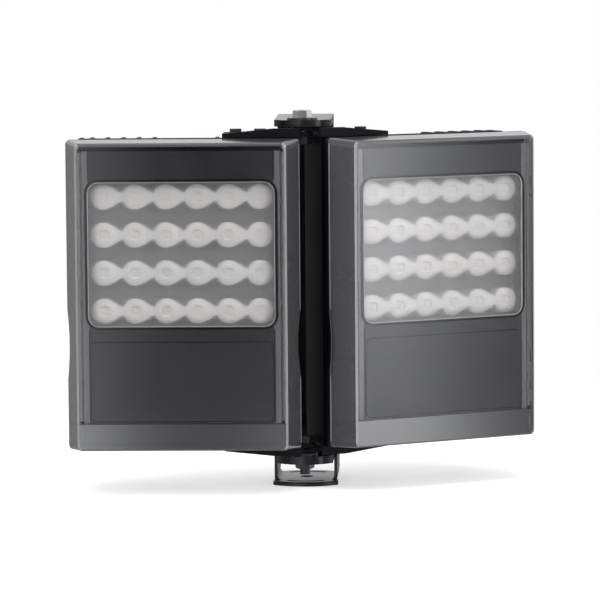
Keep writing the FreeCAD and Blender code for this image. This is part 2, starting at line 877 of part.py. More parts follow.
def make_cap_screws(side):
    solids = []
    seat = of("cap_screw_seat").value
    for across in (-1, 1):
        foot = V(cap_screw_across.value * across, of("cap_screw_depth").value, seat)
        shank = Part.makeCylinder(of("small_screw_radius").value, of("cap_lug").value, foot)
        head = Part.makeCylinder(of("small_screw_head").value, seat - of("cap_screw_sink").value,
                                 foot, V(0, 0, -1))
        solids.append(shank.fuse(head).removeSplitter())
    group = doc.addObject("Part::Feature", SIDE_NAMES[side] + "_cap_screws")
    group.Shape = Part.makeCompound(solids)
    keep(group, panel_place(side))


# Wing brackets above and below each panel
def make_wing(side, level):
    """Level is 1 above the panel and -1 below it; the left knuckle lies next to its panel."""
    body = new_body(SIDE_NAMES[side] + ("_top_wing" if level > 0 else "_bottom_wing"))
    inward = -side
    axis_u, axis_v = axis_side * inward, of("axis_depth")
    face = of("panel_height") + of("wing_gap") if level > 0 else -of("wing_gap")
    thick = of("wing_thickness")

    def layer(start, end):
        one, two = face + start * level, face + end * level
        return (one, two) if level > 0 else (two, one)

    def away(distance):
        return axis_u - distance * inward

    front, back = axis_v - of("wing_front"), axis_v + of("wing_back")
    tip_back = axis_v + of("wing_tip_back")
    web_low, web_high = layer(amount(0), thick)
    # The web keeps clear of the knuckles, so its inner end is cut back behind the rib.
    add_layer(body, web_low, web_high,
              lambda sketch: draw_outline(sketch, [
                  (away(of("rib_start")), front), (away(of("wing_reach")), front),
                  (away(of("wing_reach")), tip_back), (away(of("web_knee")), back),
                  (away(of("web_end")), back), (away(of("web_start")), axis_v - of("wing_neck")),
                  (away(of("rib_start")), front + of("rib_thickness"))]))
    # The knuckle is next to the panel on the left side and one layer further out on the right side.
    lift = amount(0) if side == LEFT else thick + of("knuckle_layer_gap")
    low, high = layer(lift, lift + thick)
    add_layer(body, low, high, lambda sketch: draw_circle(sketch, axis_u, axis_v, of("knuckle_radius")))
    arm_front, arm_back = axis_v - of("arm_forward"), axis_v + of("arm_rearward")
    arm_end = away(of("arm_end"))
    add_layer(body, low, high,
              lambda sketch: draw_box(sketch, *between(axis_u, arm_end), arm_front, arm_back))
    if side == RIGHT:
        low, high = layer(thick, lift + thick)
        step = away(of("knuckle_radius") + of("knuckle_gap"))
        add_layer(body, low, high,
                  lambda sketch: draw_box(sketch, *between(step, arm_end), arm_front, arm_back))
    # The front rib is full height beside the yoke's arm and falls away towards the tip.
    top = thick * 2 + of("knuckle_layer_gap")
    rib = new_sketch(body, "XZ", -front)
    draw_outline(rib, [(away(of("rib_start")), face), (away(of("wing_reach")), face),
                       (away(of("wing_reach")), face + thick * level),
                       (away(of("rib_full")), face + top * level),
                       (away(of("rib_start")), face + top * level)])
    raise_pad(body, rib, of("rib_thickness"), backward=True)
    low, high = layer(amount(0), top)
    cut_layer(body, low, high, lambda sketch: draw_circle(sketch, axis_u, axis_v, pin_bore))
    low, high = layer(amount(0), thick)
    for reach in ("wing_screw_near", "wing_screw_far"):
        cut_layer(body, low, high,
                  lambda sketch: draw_circle(sketch, away(of(reach)), axis_v,
                                             of("wing_screw_radius") + of("seat_clearance")))
    keep(body, panel_place(side))


def make_wing_screws(side):
    solids = []
    thick, gap = of("wing_thickness").value, of("wing_gap").value
    for level in (-1, 1):
        face = of("panel_height").value + gap + thick if level > 0 else -gap - thick
        for reach in ("wing_screw_near", "wing_screw_far"):
            foot = V((axis_side.value - of(reach).value) * -side, of("axis_depth").value, face)
            inside = (of("wing_screw_depth") - of("screw_end_gap")).value + thick
            shank = Part.makeCylinder(of("wing_screw_radius").value, inside, foot, V(0, 0, -level))
            head = Part.makeCylinder(of("wing_screw_head").value, of("wing_screw_rise").value, foot,
                                     V(0, 0, level))
            solids.append(shank.fuse(head).removeSplitter())
    group = doc.addObject("Part::Feature", SIDE_NAMES[side] + "_wing_screws")
    group.Shape = Part.makeCompound(solids)
    keep(group, panel_place(side))


for side in (LEFT, RIGHT):
    make_housing(side)
    make_cover(side)
    make_end_cap(side)
    make_seal(side)
    make_bezel(side)
    make_lens_sheet(side)
    make_lenses(side)
    make_leds(side)
    make_boards(side)
    make_board_screws(side)
    make_driver(side)
    make_gland(side)
    make_cap_screws(side)
    make_wing(side, 1)
    make_wing(side, -1)
    make_wing_screws(side)

# Yoke casting between the two pairs of wings
wing_stack = (of("wing_gap") + of("wing_thickness") * 2 + of("knuckle_layer_gap")
              + of("stack_gap"))
upper_arm_low = panel_top + wing_stack
upper_arm_high = upper_arm_low + of("upper_arm_thickness")
lower_arm_high = of("panel_bottom") - wing_stack - of("thrust_washer") - of("stack_gap")
lower_arm_low = lower_arm_high - of("arm_thickness")
axis_y = -of("axis_forward")
nose_front = axis_y - of("arm_nose")


def make_yoke():
    """A C seen from the side, with rounded noses in plan and bores for the bolts."""
    profile = new_body("yoke_profile")
    sketch = new_sketch(profile, "YZ")
    # The upper arm's top is level under the washer and rises towards the back.
    top = upper_arm_high + of("upper_arm_rise")
    land = axis_y + of("washer_radius") + of("washer_land")
    draw_outline(sketch, [(nose_front, lower_arm_low), (of("spine_back"), lower_arm_low),
                          (of("spine_back"), top), (land, upper_arm_high),
                          (nose_front, upper_arm_high), (nose_front, upper_arm_low),
                          (of("spine_front"), upper_arm_low), (of("spine_front"), lower_arm_high),
                          (nose_front, lower_arm_high)])
    raise_pad(profile, sketch, of("yoke_width"), midplane=True)
    round_edges(profile, of("yoke_corner"), lambda one, two: near(one.y, of("spine_front"))
                and near(two.y, of("spine_front")) and near(one.z, two.z))
    plan = new_body("yoke_plan")
    low, high = lower_arm_low - 1, top + 1
    nose_centre = nose_front + of("nose_radius")
    half = of("yoke_width") / 2
    add_layer(plan, low, high,
              lambda sketch: draw_circle(sketch, amount(0), nose_centre, of("nose_radius")))
    add_layer(plan, low, high,
              lambda sketch: draw_box(sketch, -half, half, nose_centre, of("spine_back") + 1))
    shell = doc.addObject("Part::MultiCommon", "yoke_blank")
    shell.Shapes = [profile, plan]
    cutters = []
    bores = [("yoke_top_bore", upper_arm_low - 1, of("upper_arm_thickness")),
             ("yoke_bottom_bore", lower_arm_low - 1, of("arm_thickness"))]
    for name, bottom, thickness in bores:
        bore = doc.addObject("Part::Cylinder", name)
        bind(bore, "Radius", seat_bore)
        bind(bore, "Height", thickness + 2)
        bind(bore, "Placement.Base.y", axis_y)
        bind(bore, "Placement.Base.z", bottom)
        cutters.append(bore)
    for name, start in (("yoke_left_thread", -half - 1), ("yoke_right_thread",
                                                         half - of("tilt_bolt_reach"))):
        bore = doc.addObject("Part::Cylinder", name)
        bore.Placement.Rotation = FreeCAD.Rotation(V(0, 1, 0), 90)
        bind(bore, "Radius", seat_bore)
        bind(bore, "Height", of("tilt_bolt_reach") + 1)
        bind(bore, "Placement.Base.x", start)
        bind(bore, "Placement.Base.y", of("tilt_back"))
        bind(bore, "Placement.Base.z", of("tilt_height"))
        cutters.append(bore)
    # The back of the spine is hollowed out above the tilt bolts, which leaves an open channel.
    hollow = doc.addObject("Part::Box", "yoke_hollow")
    wall = of("hollow_wall")
    foot = of("tilt_height") + of("hollow_foot")
    bind(hollow, "Length", of("yoke_width") - wall * 2)
    bind(hollow, "Width", (of("spine_back") - of("spine_front")) - wall)
    bind(hollow, "Height", upper_arm_low - of("hollow_head") - foot)
    bind(hollow, "Placement.Base.x", wall - half)
    bind(hollow, "Placement.Base.y", of("spine_front") + wall)
    bind(hollow, "Placement.Base.z", foot)
    cutters.append(hollow)
    tools = doc.addObject("Part::MultiFuse", "yoke_cutters")
    tools.Shapes = cutters
    yoke = doc.addObject("Part::Cut", "yoke")
    yoke.Base = shell
    yoke.Tool = tools
    keep(yoke)


# U bracket: bent sheet with ears for the tilt bolts and a slotted base
def make_u_bracket():
    inner = of("yoke_width") / 2 + of("side_gap")
    outer = inner + of("sheet_metal")
    tall = of("tilt_height") + of("ear_radius")
    bent = new_body("u_profile")
    sketch = new_sketch(bent, "XZ", -of("base_radius"))
    draw_outline(sketch, [(-outer, amount(0)), (outer, amount(0)), (outer, tall), (inner, tall),
                          (inner, of("base_thickness")), (-inner, of("base_thickness")), (-inner, tall),
                          (-outer, tall)])
    raise_pad(bent, sketch, of("base_radius") + of("ear_front"))
    round_edges(bent, of("bend_radius"), lambda one, two: near(one.z, of("base_thickness"))
                and near(two.z, of("base_thickness")) and near(abs(one.x), inner)
                and near(abs(two.x), inner) and near(one.x, two.x))
    round_edges(bent, of("bend_radius") + of("sheet_metal"), lambda one, two: near(one.z, 0)
                and near(two.z, 0) and near(abs(one.x), outer) and near(one.x, two.x))
    side_view = new_body("u_side_view")
    sketch = new_sketch(side_view, "YZ")
    lobe = of("ear_radius")
    back, rise = of("tilt_back"), of("tilt_height")
    draw_outline(sketch, [(-of("ear_front"), amount(0)), (of("base_radius"), amount(0)),
                          (of("base_radius"), rise / 2), (back + lobe, rise), (back - lobe, rise),
                          (back - lobe - 1, of("ear_shoulder") + of("ear_slope")),
                          (-of("ear_front"), of("ear_shoulder"))])
    raise_pad(side_view, sketch, outer * 2 + 2, midplane=True)
    sketch = new_sketch(side_view, "YZ")
    draw_circle(sketch, back, rise, lobe)
    raise_pad(side_view, sketch, outer * 2 + 2, midplane=True)
    plan = new_body("u_plan")
    add_layer(plan, amount(-1), tall + 1,
              lambda sketch: draw_circle(sketch, amount(0), amount(0), of("base_radius")))
    add_layer(plan, of("base_thickness") * 2, tall + 1,
              lambda sketch: draw_box(sketch, -outer - 1, outer + 1, -of("base_radius"),
                                      back + lobe + 1))
    ears = doc.addObject("Part::MultiCommon", "u_ears")
    ears.Shapes = [bent, side_view, plan]
    tongue = new_body("u_tongue")
    half = of("base_width") / 2
    add_layer(tongue, amount(0), of("base_thickness"),
              lambda sketch: draw_circle(sketch, amount(0), amount(0), of("base_radius")))
    for across in (-1, 1):
        cut_layer(tongue, amount(0), of("base_thickness"),
                  lambda sketch: draw_box(sketch, *between(half * across,
                                                           (of("base_radius") + 1) * across),
                                          -of("base_radius"), of("base_radius")))
    cut_layer(tongue, amount(0), of("base_thickness"),
              lambda sketch: draw_box(sketch, -half - 1, half + 1, -of("ear_front"),
                                      of("base_radius") + 1))
    front_edge = -of("ear_front").value - 1
    round_edges(tongue, of("base_edge"), lambda one, two: near(one.z, two.z)
                and not near(one.x, two.x) and one.y < front_edge and two.y < front_edge)
    blank = doc.addObject("Part::MultiFuse", "u_blank")
    blank.Shapes = [ears, tongue]
    cutter = new_body("u_cutter")
    low, high = amount(-1), of("base_thickness") + 1
    ring = of("slot_circle")
    wide = of("slot_width") / 2
    half_angle = of("slot_angle") / 2
    add_layer(cutter, low, high,
              lambda sketch: draw_circle(sketch, amount(0), amount(0), of("centre_hole")))
    solids = [cutter]
    for facing in (-1, 1):
        arc = new_body("u_slot")
        sketch = new_sketch(arc, "YZ")
        near_y, far_y = between((ring - wide) * facing, (ring + wide) * facing)
        draw_box(sketch, near_y, far_y, low, high)
        turn = arc.newObject("PartDesign::Revolution", "u_slot_turn")
        turn.Profile = sketch
        turn.ReferenceAxis = (sketch, ["V_Axis"])
        turn.Midplane = True
        bind(turn, "Angle", of("slot_angle"))
        arc.Tip = turn
        for across in (-1, 1):
            add_layer(arc, low, high,
                      lambda sketch: draw_circle(sketch, ring * sine(half_angle) * across,
                                                 ring * cosine(half_angle) * facing, wide))
        solids.append(arc)
    pin = doc.addObject("Part::Cylinder", "u_pin_bore")
    pin.Placement.Rotation = FreeCAD.Rotation(V(0, 1, 0), 90)
    bind(pin, "Radius", pin_bore)
    bind(pin, "Height", outer * 2 + 2)
    bind(pin, "Placement.Base.x", -outer - 1)
    bind(pin, "Placement.Base.y", back)
    bind(pin, "Placement.Base.z", rise)
    solids.append(pin)
    tools = doc.addObject("Part::MultiFuse", "u_cutters")
    tools.Shapes = solids
    bracket = doc.addObject("Part::Cut", "u_bracket")
    bracket.Base = blank
    bracket.Tool = tools
    keep(bracket)


# Bolts, nuts and washers of the swivel axis and the tilt axis
def hexagon(place, length, direction):
    """A hexagonal prism from the point place along direction, chamfered at its far end."""
    across = of("hex_across").value
    corner = across / math.sqrt(3)
    turn = FreeCAD.Rotation(V(0, 0, 1), direction)
    ring = [turn.multVec(V(corner * math.cos(math.radians(60 * step)),
                           corner * math.sin(math.radians(60 * step)), 0)) + place
            for step in range(6)]
    prism = Part.Face(Part.makePolygon(ring + ring[:1])).extrude(direction * length)
    flat = across / 2 * of("hex_flat").value
    slope = math.tan(math.radians(60))
    return prism.common(Part.makeCone(flat + length * slope, flat, length, place, direction))


def bolt_head(place, direction):
    """A hexagon head with the shallow recess of a forged bolt."""
    tall, depth = of("hex_head").value, of("hex_recess").value
    recess = Part.makeCylinder(of("hex_recess_radius").value, depth,
                               place + direction * (tall - depth), direction)
    return hexagon(place, tall, direction).cut(recess)


def add_feature(name, shape):
    feature = doc.addObject("Part::Feature", name)
    feature.Shape = shape
    keep(feature)


def make_hardware():
    up, down = V(0, 0, 1), V(0, 0, -1)
    radius = of("bolt_radius").value
    ring_bore = seat_bore.value
    axis_x_y = V(0, axis_y.value, 0)
    washer = of("washer_thickness").value

    def at(height):
        return axis_x_y + up * height

    def ring(outer, inner, thickness, foot, direction):
        disc = Part.makeCylinder(outer, thickness, foot, direction)
        return disc.cut(Part.makeCylinder(inner, thickness, foot, direction))

    # Upper swivel bolt: head on its washer above the arm, nut below the lower knuckle
    arm_top = upper_arm_high.value
    nut_top = (panel_top + of("wing_gap") - of("stack_gap")).value
    nut_low = nut_top - of("full_nut").value
    shank = Part.makeCylinder(radius, arm_top + washer - nut_low, at(nut_low))
    add_feature("top_pivot_bolt",
                shank.fuse(bolt_head(at(arm_top + washer), up)).removeSplitter())
    add_feature("top_washer", ring(of("washer_radius").value, ring_bore, washer, at(arm_top), up))
    nut = hexagon(at(nut_top), of("full_nut").value, down)
    add_feature("top_nut", nut.cut(Part.makeCylinder(ring_bore, of("full_nut").value, at(nut_top), down)))
    # Lower swivel bolt: head above the knuckles, thin nut below the arm
    arm_low = lower_arm_low.value
    head_low = (of("panel_bottom") - of("wing_gap") + of("stack_gap")).value
    end_low = arm_low - of("thin_nut").value - of("thread_end").value
    shank = Part.makeCylinder(radius, head_low - end_low, at(end_low))
    add_feature("bottom_pivot_bolt",
                shank.fuse(bolt_head(at(head_low), up)).removeSplitter())
    nut = hexagon(at(arm_low), of("thin_nut").value, down)
    add_feature("bottom_nut", nut.cut(Part.makeCylinder(ring_bore, of("thin_nut").value,
                                                        at(arm_low), down)))
    add_feature("thrust_washer", ring(of("thrust_radius").value, ring_bore,
                                      of("thrust_washer").value, at(lower_arm_high.value), up))
    # Tilt bolts with their washers, one at each ear
    outer = (of("yoke_width") / 2 + of("side_gap") + of("sheet_metal")).value
    bolts, washers = [], []
    reach = (of("tilt_bolt_reach") - of("screw_end_gap")).value
    for across in (-1, 1):
        out = V(across, 0, 0)
        face = V(across * outer, of("tilt_back").value, of("tilt_height").value)
        washers.append(ring(of("tilt_washer_radius").value, ring_bore, washer, face, out))
        seat = face + out * washer
        length = washer + outer - of("yoke_width").value / 2 + reach
        shank = Part.makeCylinder(radius, length, seat, out * -1)
        bolts.append(shank.fuse(bolt_head(seat, out)).removeSplitter())
    add_feature("tilt_bolts", Part.makeCompound(bolts))
    add_feature("tilt_washers", Part.makeCompound(washers))


make_yoke()
make_u_bracket()
make_hardware()
doc.recompute()

# Every object must be sound before anything is written.
for item in doc.Objects:
    if "Invalid" in item.State or "Error" in item.State:
        raise RuntimeError("%s is not sound: %s" % (item.Label, item.State))
for piece in pieces:
    if piece.Shape.isNull() or not piece.Shape.isValid():
        raise RuntimeError("%s has no valid shape" % piece.Label)
for piece in pieces:
    piece.Shape.exportStep("parts/%s.step" % piece.Label)
print("%d pieces written" % len(pieces))
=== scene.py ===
"""Looks of a twin-panel infrared illuminator on its swivelling yoke and slotted bracket."""

import json
import math

import bmesh
import bpy
from mathutils import Matrix, Vector


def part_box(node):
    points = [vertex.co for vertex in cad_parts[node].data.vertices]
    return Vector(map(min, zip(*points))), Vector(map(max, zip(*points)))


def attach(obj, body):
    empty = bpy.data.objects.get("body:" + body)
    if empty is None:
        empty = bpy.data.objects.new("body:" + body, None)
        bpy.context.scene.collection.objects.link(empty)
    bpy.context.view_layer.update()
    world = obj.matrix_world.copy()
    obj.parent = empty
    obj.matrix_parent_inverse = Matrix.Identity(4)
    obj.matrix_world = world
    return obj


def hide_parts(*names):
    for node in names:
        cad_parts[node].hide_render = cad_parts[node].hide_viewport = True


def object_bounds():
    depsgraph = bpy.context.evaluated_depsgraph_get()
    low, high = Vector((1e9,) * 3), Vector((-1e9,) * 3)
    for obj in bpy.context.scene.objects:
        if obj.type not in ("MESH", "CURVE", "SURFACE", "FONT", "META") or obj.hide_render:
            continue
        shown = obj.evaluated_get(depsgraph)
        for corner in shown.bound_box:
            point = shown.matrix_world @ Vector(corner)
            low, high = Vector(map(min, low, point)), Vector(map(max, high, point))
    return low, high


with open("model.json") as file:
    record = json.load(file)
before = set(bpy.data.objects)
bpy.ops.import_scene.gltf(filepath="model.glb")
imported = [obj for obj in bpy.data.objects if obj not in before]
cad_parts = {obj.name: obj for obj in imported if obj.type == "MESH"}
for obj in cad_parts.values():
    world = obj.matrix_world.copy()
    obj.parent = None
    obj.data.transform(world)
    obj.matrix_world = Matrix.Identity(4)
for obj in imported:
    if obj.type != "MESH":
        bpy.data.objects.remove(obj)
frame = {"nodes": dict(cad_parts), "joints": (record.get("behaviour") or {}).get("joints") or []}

bl_info = {
    "name": "Infrared illuminator looks",
    "version": (1, 0, 0),
    "blender": (4, 5, 0),
    "location": "View3D > Sidebar > Illuminator",
    "description": "Dresses the packed illuminator with its finishes, lenses, seams and stage",
    "category": "Object",
}

MM = 0.001
NODES = frame["nodes"]
JOINTS = {joint["name"]: joint for joint in frame["joints"]}
CAD_LOW, CAD_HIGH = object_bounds()
SIDES = ("left", "right")
LENS_ROWS, LENS_COLUMNS = 4, 6

# The bezel: depths of its lowered side rails and of its face behind the blank field, the window's
# corner radius, and the blank field's half width, foot, head and corner radius. Foot and head are
# measured from the bezel's foot. The lens sheet's corner radius comes last.
RAIL_DEPTH = 1.8 * MM
BLANK_RISE = 0.8 * MM
WINDOW_CORNER = 8.5 * MM
BLANK_HALF = 70 * MM
BLANK_FOOT = 1.8 * MM
BLANK_HEAD = 62.4 * MM
BLANK_CORNER = 4 * MM
SHEET_CORNER = 8.2 * MM


# Places of the two panels, worked out from the frame
def panel_matrix(side):
    """From a panel's frame (across, depth behind its front face, height) to the row frame."""
    cover_low, cover_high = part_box("left_cover")
    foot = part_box("left_end_cap")[0].z
    middle = (cover_low.x + cover_high.x) / 2
    if side == "left":
        return Matrix.Translation((middle, cover_low.y, foot))
    pivot = Vector(JOINTS["right_pan"]["pos_m"])
    swing = -math.radians(JOINTS["right_pan"]["range_deg"][0])
    reach = Matrix.Translation((-middle, cover_low.y - pivot.y, foot))
    return Matrix.Translation((0, pivot.y, 0)) @ Matrix.Rotation(swing, 4, "Z") @ reach


def panel_box(name):
    """Box of a left panel node in the panel's own frame."""
    back = panel_matrix("left").inverted()
    low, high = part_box("left_" + name)
    return back @ low, back @ high


# Settings that a user would change
class StageSettings(bpy.types.PropertyGroup):
    lens: bpy.props.FloatProperty(
        name="Lens", description="Focal length of the view", default=235.6, min=20, unit="CAMERA")
    distance: bpy.props.FloatProperty(
        name="Distance", description="From the view to the panels", default=3.0, unit="LENGTH")
    azimuth: bpy.props.FloatProperty(
        name="Azimuth", description="How far the view stands to the right",
        default=math.radians(2.44), subtype="ANGLE")
    elevation: bpy.props.FloatProperty(
        name="Elevation", description="How far the view stands above the horizon",
        default=math.radians(5.1), subtype="ANGLE")
    roll: bpy.props.FloatProperty(
        name="Roll", description="Turn of the view about its own axis",
        default=math.radians(-0.46), subtype="ANGLE")
    aim: bpy.props.FloatVectorProperty(
        name="Aim", description="Point that the view looks at",
        default=(0.0004, -0.1021, 0.1551), size=3, subtype="TRANSLATION")
    shift: bpy.props.FloatVectorProperty(
        name="Shift", description="Shift of the view across and up",
        default=(-0.001, -0.00475), size=2)
    floor_colour: bpy.props.FloatVectorProperty(
        name="Floor", description="Colour of the pale floor",
        default=(0.86, 0.86, 0.86), size=3, subtype="COLOR")
    floor_radius: bpy.props.FloatProperty(
        name="Floor radius", description="Reach of the pale floor", default=0.75, unit="LENGTH")
    floor_lift: bpy.props.FloatProperty(
        name="Floor lift", description="Brightness that the floor adds for the view", default=0.55)
    room_light: bpy.props.FloatProperty(
        name="Room light", description="Even light from the room", default=0.42, min=0)
    back_tone: bpy.props.FloatProperty(
        name="Back tone", description="How bright the high part of the room behind looks in gloss",
        default=1.0, min=0)
    low_tone: bpy.props.FloatProperty(
        name="Low tone", description="What the low part of the room adds in front and to the left",
        default=0.28, min=0, max=1)
    low_dim: bpy.props.FloatProperty(
        name="Low dimming", description="Share of its light that the low part of the right field keeps",
        default=0.4, min=0, max=1)


class CoatSettings(bpy.types.PropertyGroup):
    casting: bpy.props.FloatVectorProperty(
        name="Casting", description="Powder coat of the castings",
        default=(0.0045, 0.005, 0.0068), size=3, subtype="COLOR")
    sheet: bpy.props.FloatVectorProperty(
        name="Sheet", description="Powder coat of the bent sheet",
        default=(0.005, 0.0053, 0.0062), size=3, subtype="COLOR")
    moulding: bpy.props.FloatVectorProperty(
        name="Moulding", description="Black moulded plastic",
        default=(0.005, 0.0055, 0.007), size=3, subtype="COLOR")
    # The rails' paler colour is painted light: the bright line along the bezel's sides.
    rail: bpy.props.FloatVectorProperty(
        name="Rail", description="Painted light on the rails along the bezel's sides",
        default=(0.11, 0.11, 0.115), size=3, subtype="COLOR")
    grain: bpy.props.FloatProperty(
        name="Grain", description="Size of the coat's grain", default=0.0011, unit="LENGTH")
    steel: bpy.props.FloatVectorProperty(
        name="Stainless", description="Colour of the stainless screws",
        default=(0.62, 0.59, 0.55), size=3, subtype="COLOR")


class WindowSettings(bpy.types.PropertyGroup):
    smoke: bpy.props.FloatVectorProperty(
        name="Smoke", description="Tint of the smoked window", default=(0.84, 0.838, 0.838),
        size=3, subtype="COLOR")
    # The side walls' grey haze is painted light: it stands for the lit inside seen through the walls.
    wall: bpy.props.FloatVectorProperty(
        name="Wall", description="Painted light in the shell's side walls", default=(0.10, 0.10, 0.105),
        size=3, subtype="COLOR")
    # The edges' pale colour is a painted highlight along the bevel round the shell's front.
    edge: bpy.props.FloatVectorProperty(
        name="Edge", description="Painted highlight in the shell's polished edges", default=(0.40, 0.40, 0.41),
        size=3, subtype="COLOR")
    # The inner walls' pale colour is painted light, standing for the light inside the shell.
    inner: bpy.props.FloatVectorProperty(
        name="Inner wall", description="Painted light in the shell's inner walls", default=(0.45, 0.45, 0.46),
        size=3, subtype="COLOR")
    cap_smoke: bpy.props.FloatVectorProperty(
        name="Cap smoke", description="Tint of the smoked end cap", default=(0.010, 0.0105, 0.012),
        size=3, subtype="COLOR")
    polish: bpy.props.FloatProperty(
        name="Polish", description="Roughness of the polished window", default=0.05, min=0, max=1)
    rib_pitch: bpy.props.FloatProperty(
        name="Rib pitch", description="Distance between the lens sheet's ribs", default=0.9 * MM,
        unit="LENGTH")
    rib_land: bpy.props.FloatProperty(
        name="Rib land", description="Share of a rib's width that is flat", default=0.45, min=0, max=0.9)
    rib_depth: bpy.props.FloatProperty(
        name="Rib depth", description="Height of the lens sheet's ribs", default=0.15 * MM,
        unit="LENGTH")


# Upper half of the outline of the neck that joins a lens to the next: (across, height) in mm from
# the lens's centre.
NECK = ((5.6, 8.0), (8.2, 6.9), (10.4, 5.4), (12.4, 3.9), (14.6, 2.8))


class LensSettings(bpy.types.PropertyGroup):
    diameter: bpy.props.FloatProperty(
        name="Diameter", description="Width of a lens", default=19.6 * MM, unit="LENGTH")
    dome: bpy.props.FloatProperty(
        name="Dome", description="Rise of the lens's front", default=1.6 * MM, unit="LENGTH")
    eye: bpy.props.FloatProperty(
        name="Eye", description="Radius of the small lens in the middle", default=3.4 * MM,
        unit="LENGTH")
    tone: bpy.props.FloatVectorProperty(
        name="Tone", description="Colour of the moulded lenses", default=(0.71, 0.685, 0.66),
        size=3, subtype="COLOR")
    eye_tone: bpy.props.FloatVectorProperty(
        name="Eye tone", description="Colour that shows through the small lens in the middle",
        default=(0.50, 0.46, 0.43), size=3, subtype="COLOR")


SETTINGS = {
    "illuminator_stage": StageSettings,
    "illuminator_coats": CoatSettings,
    "illuminator_window": WindowSettings,
    "illuminator_lenses": LensSettings,
}


# Shader node helpers
def link(tree, out_node, out_name, in_node, in_name):
    tree.links.new(out_node.outputs[out_name], in_node.inputs[in_name])


def add_node(tree, kind, **values):
    node = tree.nodes.new(kind)
    for name, value in values.items():
        setattr(node, name, value)
    return node


def new_group(name, inputs, outputs):
    """A shader node group: inputs are (name, socket type, value), outputs are (name, socket type)."""
    tree = bpy.data.node_groups.new(name, "ShaderNodeTree")
    for label, kind, value in inputs:
        tree.interface.new_socket(name=label, in_out="INPUT", socket_type=kind).default_value = value
    for label, kind in outputs:
        tree.interface.new_socket(name=label, in_out="OUTPUT", socket_type=kind)
    return tree, tree.nodes.new("NodeGroupInput"), tree.nodes.new("NodeGroupOutput")


def span(tree, source, name, low, high, new_low, new_high):
    """A Map Range node on one output of source."""
    node = add_node(tree, "ShaderNodeMapRange")
    node.inputs["From Min"].default_value = low
    node.inputs["From Max"].default_value = high
    node.inputs["To Min"].default_value = new_low
    node.inputs["To Max"].default_value = new_high
    link(tree, source, name, node, "Value")
    return node


def mix_colours(tree, mode="MIX"):
    return add_node(tree, "ShaderNodeMix", data_type="RGBA", blend_type=mode)


def coat_group():
    """Powder coat or moulded skin: grain, slow tone changes and rubbed spots."""
    found = bpy.data.node_groups.get("Coat skin")
    if found:
        return found
    tree, start, end = new_group(
        "Coat skin",
        [("Colour", "NodeSocketColor", (0.02, 0.02, 0.02, 1)),
         ("Grain Scale", "NodeSocketFloat", 900.0),
         ("Tone", "NodeSocketFloat", 0.25),
         ("Low Roughness", "NodeSocketFloat", 0.4),
         ("High Roughness", "NodeSocketFloat", 0.55)],
        [("Colour", "NodeSocketColor"), ("Roughness", "NodeSocketFloat"), ("Height", "NodeSocketFloat")])
    place = add_node(tree, "ShaderNodeTexCoord")
    grain = add_node(tree, "ShaderNodeTexNoise")
    grain.inputs["Detail"].default_value = 3
    link(tree, place, "Object", grain, "Vector")
    link(tree, start, "Grain Scale", grain, "Scale")
    patches = add_node(tree, "ShaderNodeTexNoise")
    patches.inputs["Scale"].default_value = 24
    patches.inputs["Detail"].default_value = 4
    link(tree, place, "Object", patches, "Vector")
    lighter = mix_colours(tree, "ADD")
    lighter.inputs["Factor"].default_value = 1
    link(tree, start, "Colour", lighter, "A")
    bright = mix_colours(tree, "MULTIPLY")
    bright.inputs["Factor"].default_value = 1
    link(tree, start, "Colour", bright, "A")
    share = add_node(tree, "ShaderNodeMath", operation="MULTIPLY")
    link(tree, patches, "Fac", share, 0)
    link(tree, start, "Tone", share, 1)
    link(tree, share, "Value", bright, "B")
    link(tree, bright, "Result", lighter, "B")
    link(tree, lighter, "Result", end, "Colour")
    shine = add_node(tree, "ShaderNodeMapRange")
    link(tree, patches, "Fac", shine, "Value")
    link(tree, start, "Low Roughness", shine, "To Min")
    link(tree, start, "High Roughness", shine, "To Max")
    link(tree, shine, "Result", end, "Roughness")
    link(tree, grain, "Fac", end, "Height")
    return tree


def scuff_group():
    """Fine directional scuffs of bare metal."""
    found = bpy.data.node_groups.get("Metal scuffs")
    if found:
        return found
    tree, start, end = new_group(
        "Metal scuffs",
        [("Colour", "NodeSocketColor", (0.6, 0.6, 0.6, 1)), ("Scale", "NodeSocketFloat", 400.0),
         ("Roughness", "NodeSocketFloat", 0.25)],
        [("Colour", "NodeSocketColor"), ("Roughness", "NodeSocketFloat"), ("Height", "NodeSocketFloat")])
    place = add_node(tree, "ShaderNodeTexCoord")
    stretch = add_node(tree, "ShaderNodeMapping")
    stretch.inputs["Scale"].default_value = (1, 1, 0.15)
    link(tree, place, "Object", stretch, "Vector")
    marks = add_node(tree, "ShaderNodeTexNoise")
    marks.inputs["Detail"].default_value = 5
    link(tree, stretch, "Vector", marks, "Vector")
    link(tree, start, "Scale", marks, "Scale")
    tone = mix_colours(tree, "MULTIPLY")
    link(tree, start, "Colour", tone, "A")
    tone.inputs["Factor"].default_value = 1
    level = span(tree, marks, "Fac", 0.3, 0.7, 0.82, 1.0)
    link(tree, level, "Result", tone, "B")
    link(tree, tone, "Result", end, "Colour")
    swing = span(tree, marks, "Fac", 0.3, 0.7, -0.06, 0.08)
    total = add_node(tree, "ShaderNodeMath", operation="ADD")
    link(tree, start, "Roughness", total, 0)
    link(tree, swing, "Result", total, 1)
    link(tree, total, "Value", end, "Roughness")
    link(tree, marks, "Fac", end, "Height")
    return tree


def new_material(name):
    found = bpy.data.materials.get(name)
    if found:
        return found, None, None
    material = bpy.data.materials.new(name)
    material.use_nodes = True
    tree = material.node_tree
    return material, tree, tree.nodes["Principled BSDF"]


def add_bump(tree, shader, source, name, depth, strength=1.0):
    bump = add_node(tree, "ShaderNodeBump")
    bump.inputs["Distance"].default_value = depth
    bump.inputs["Strength"].default_value = strength
    link(tree, source, name, bump, "Height")
    link(tree, bump, "Normal", shader, "Normal")


def place_group(tree, group, **values):
    node = add_node(tree, "ShaderNodeGroup", node_tree=group)
    for name, value in values.items():
        node.inputs[name.replace("_", " ")].default_value = value
    return node


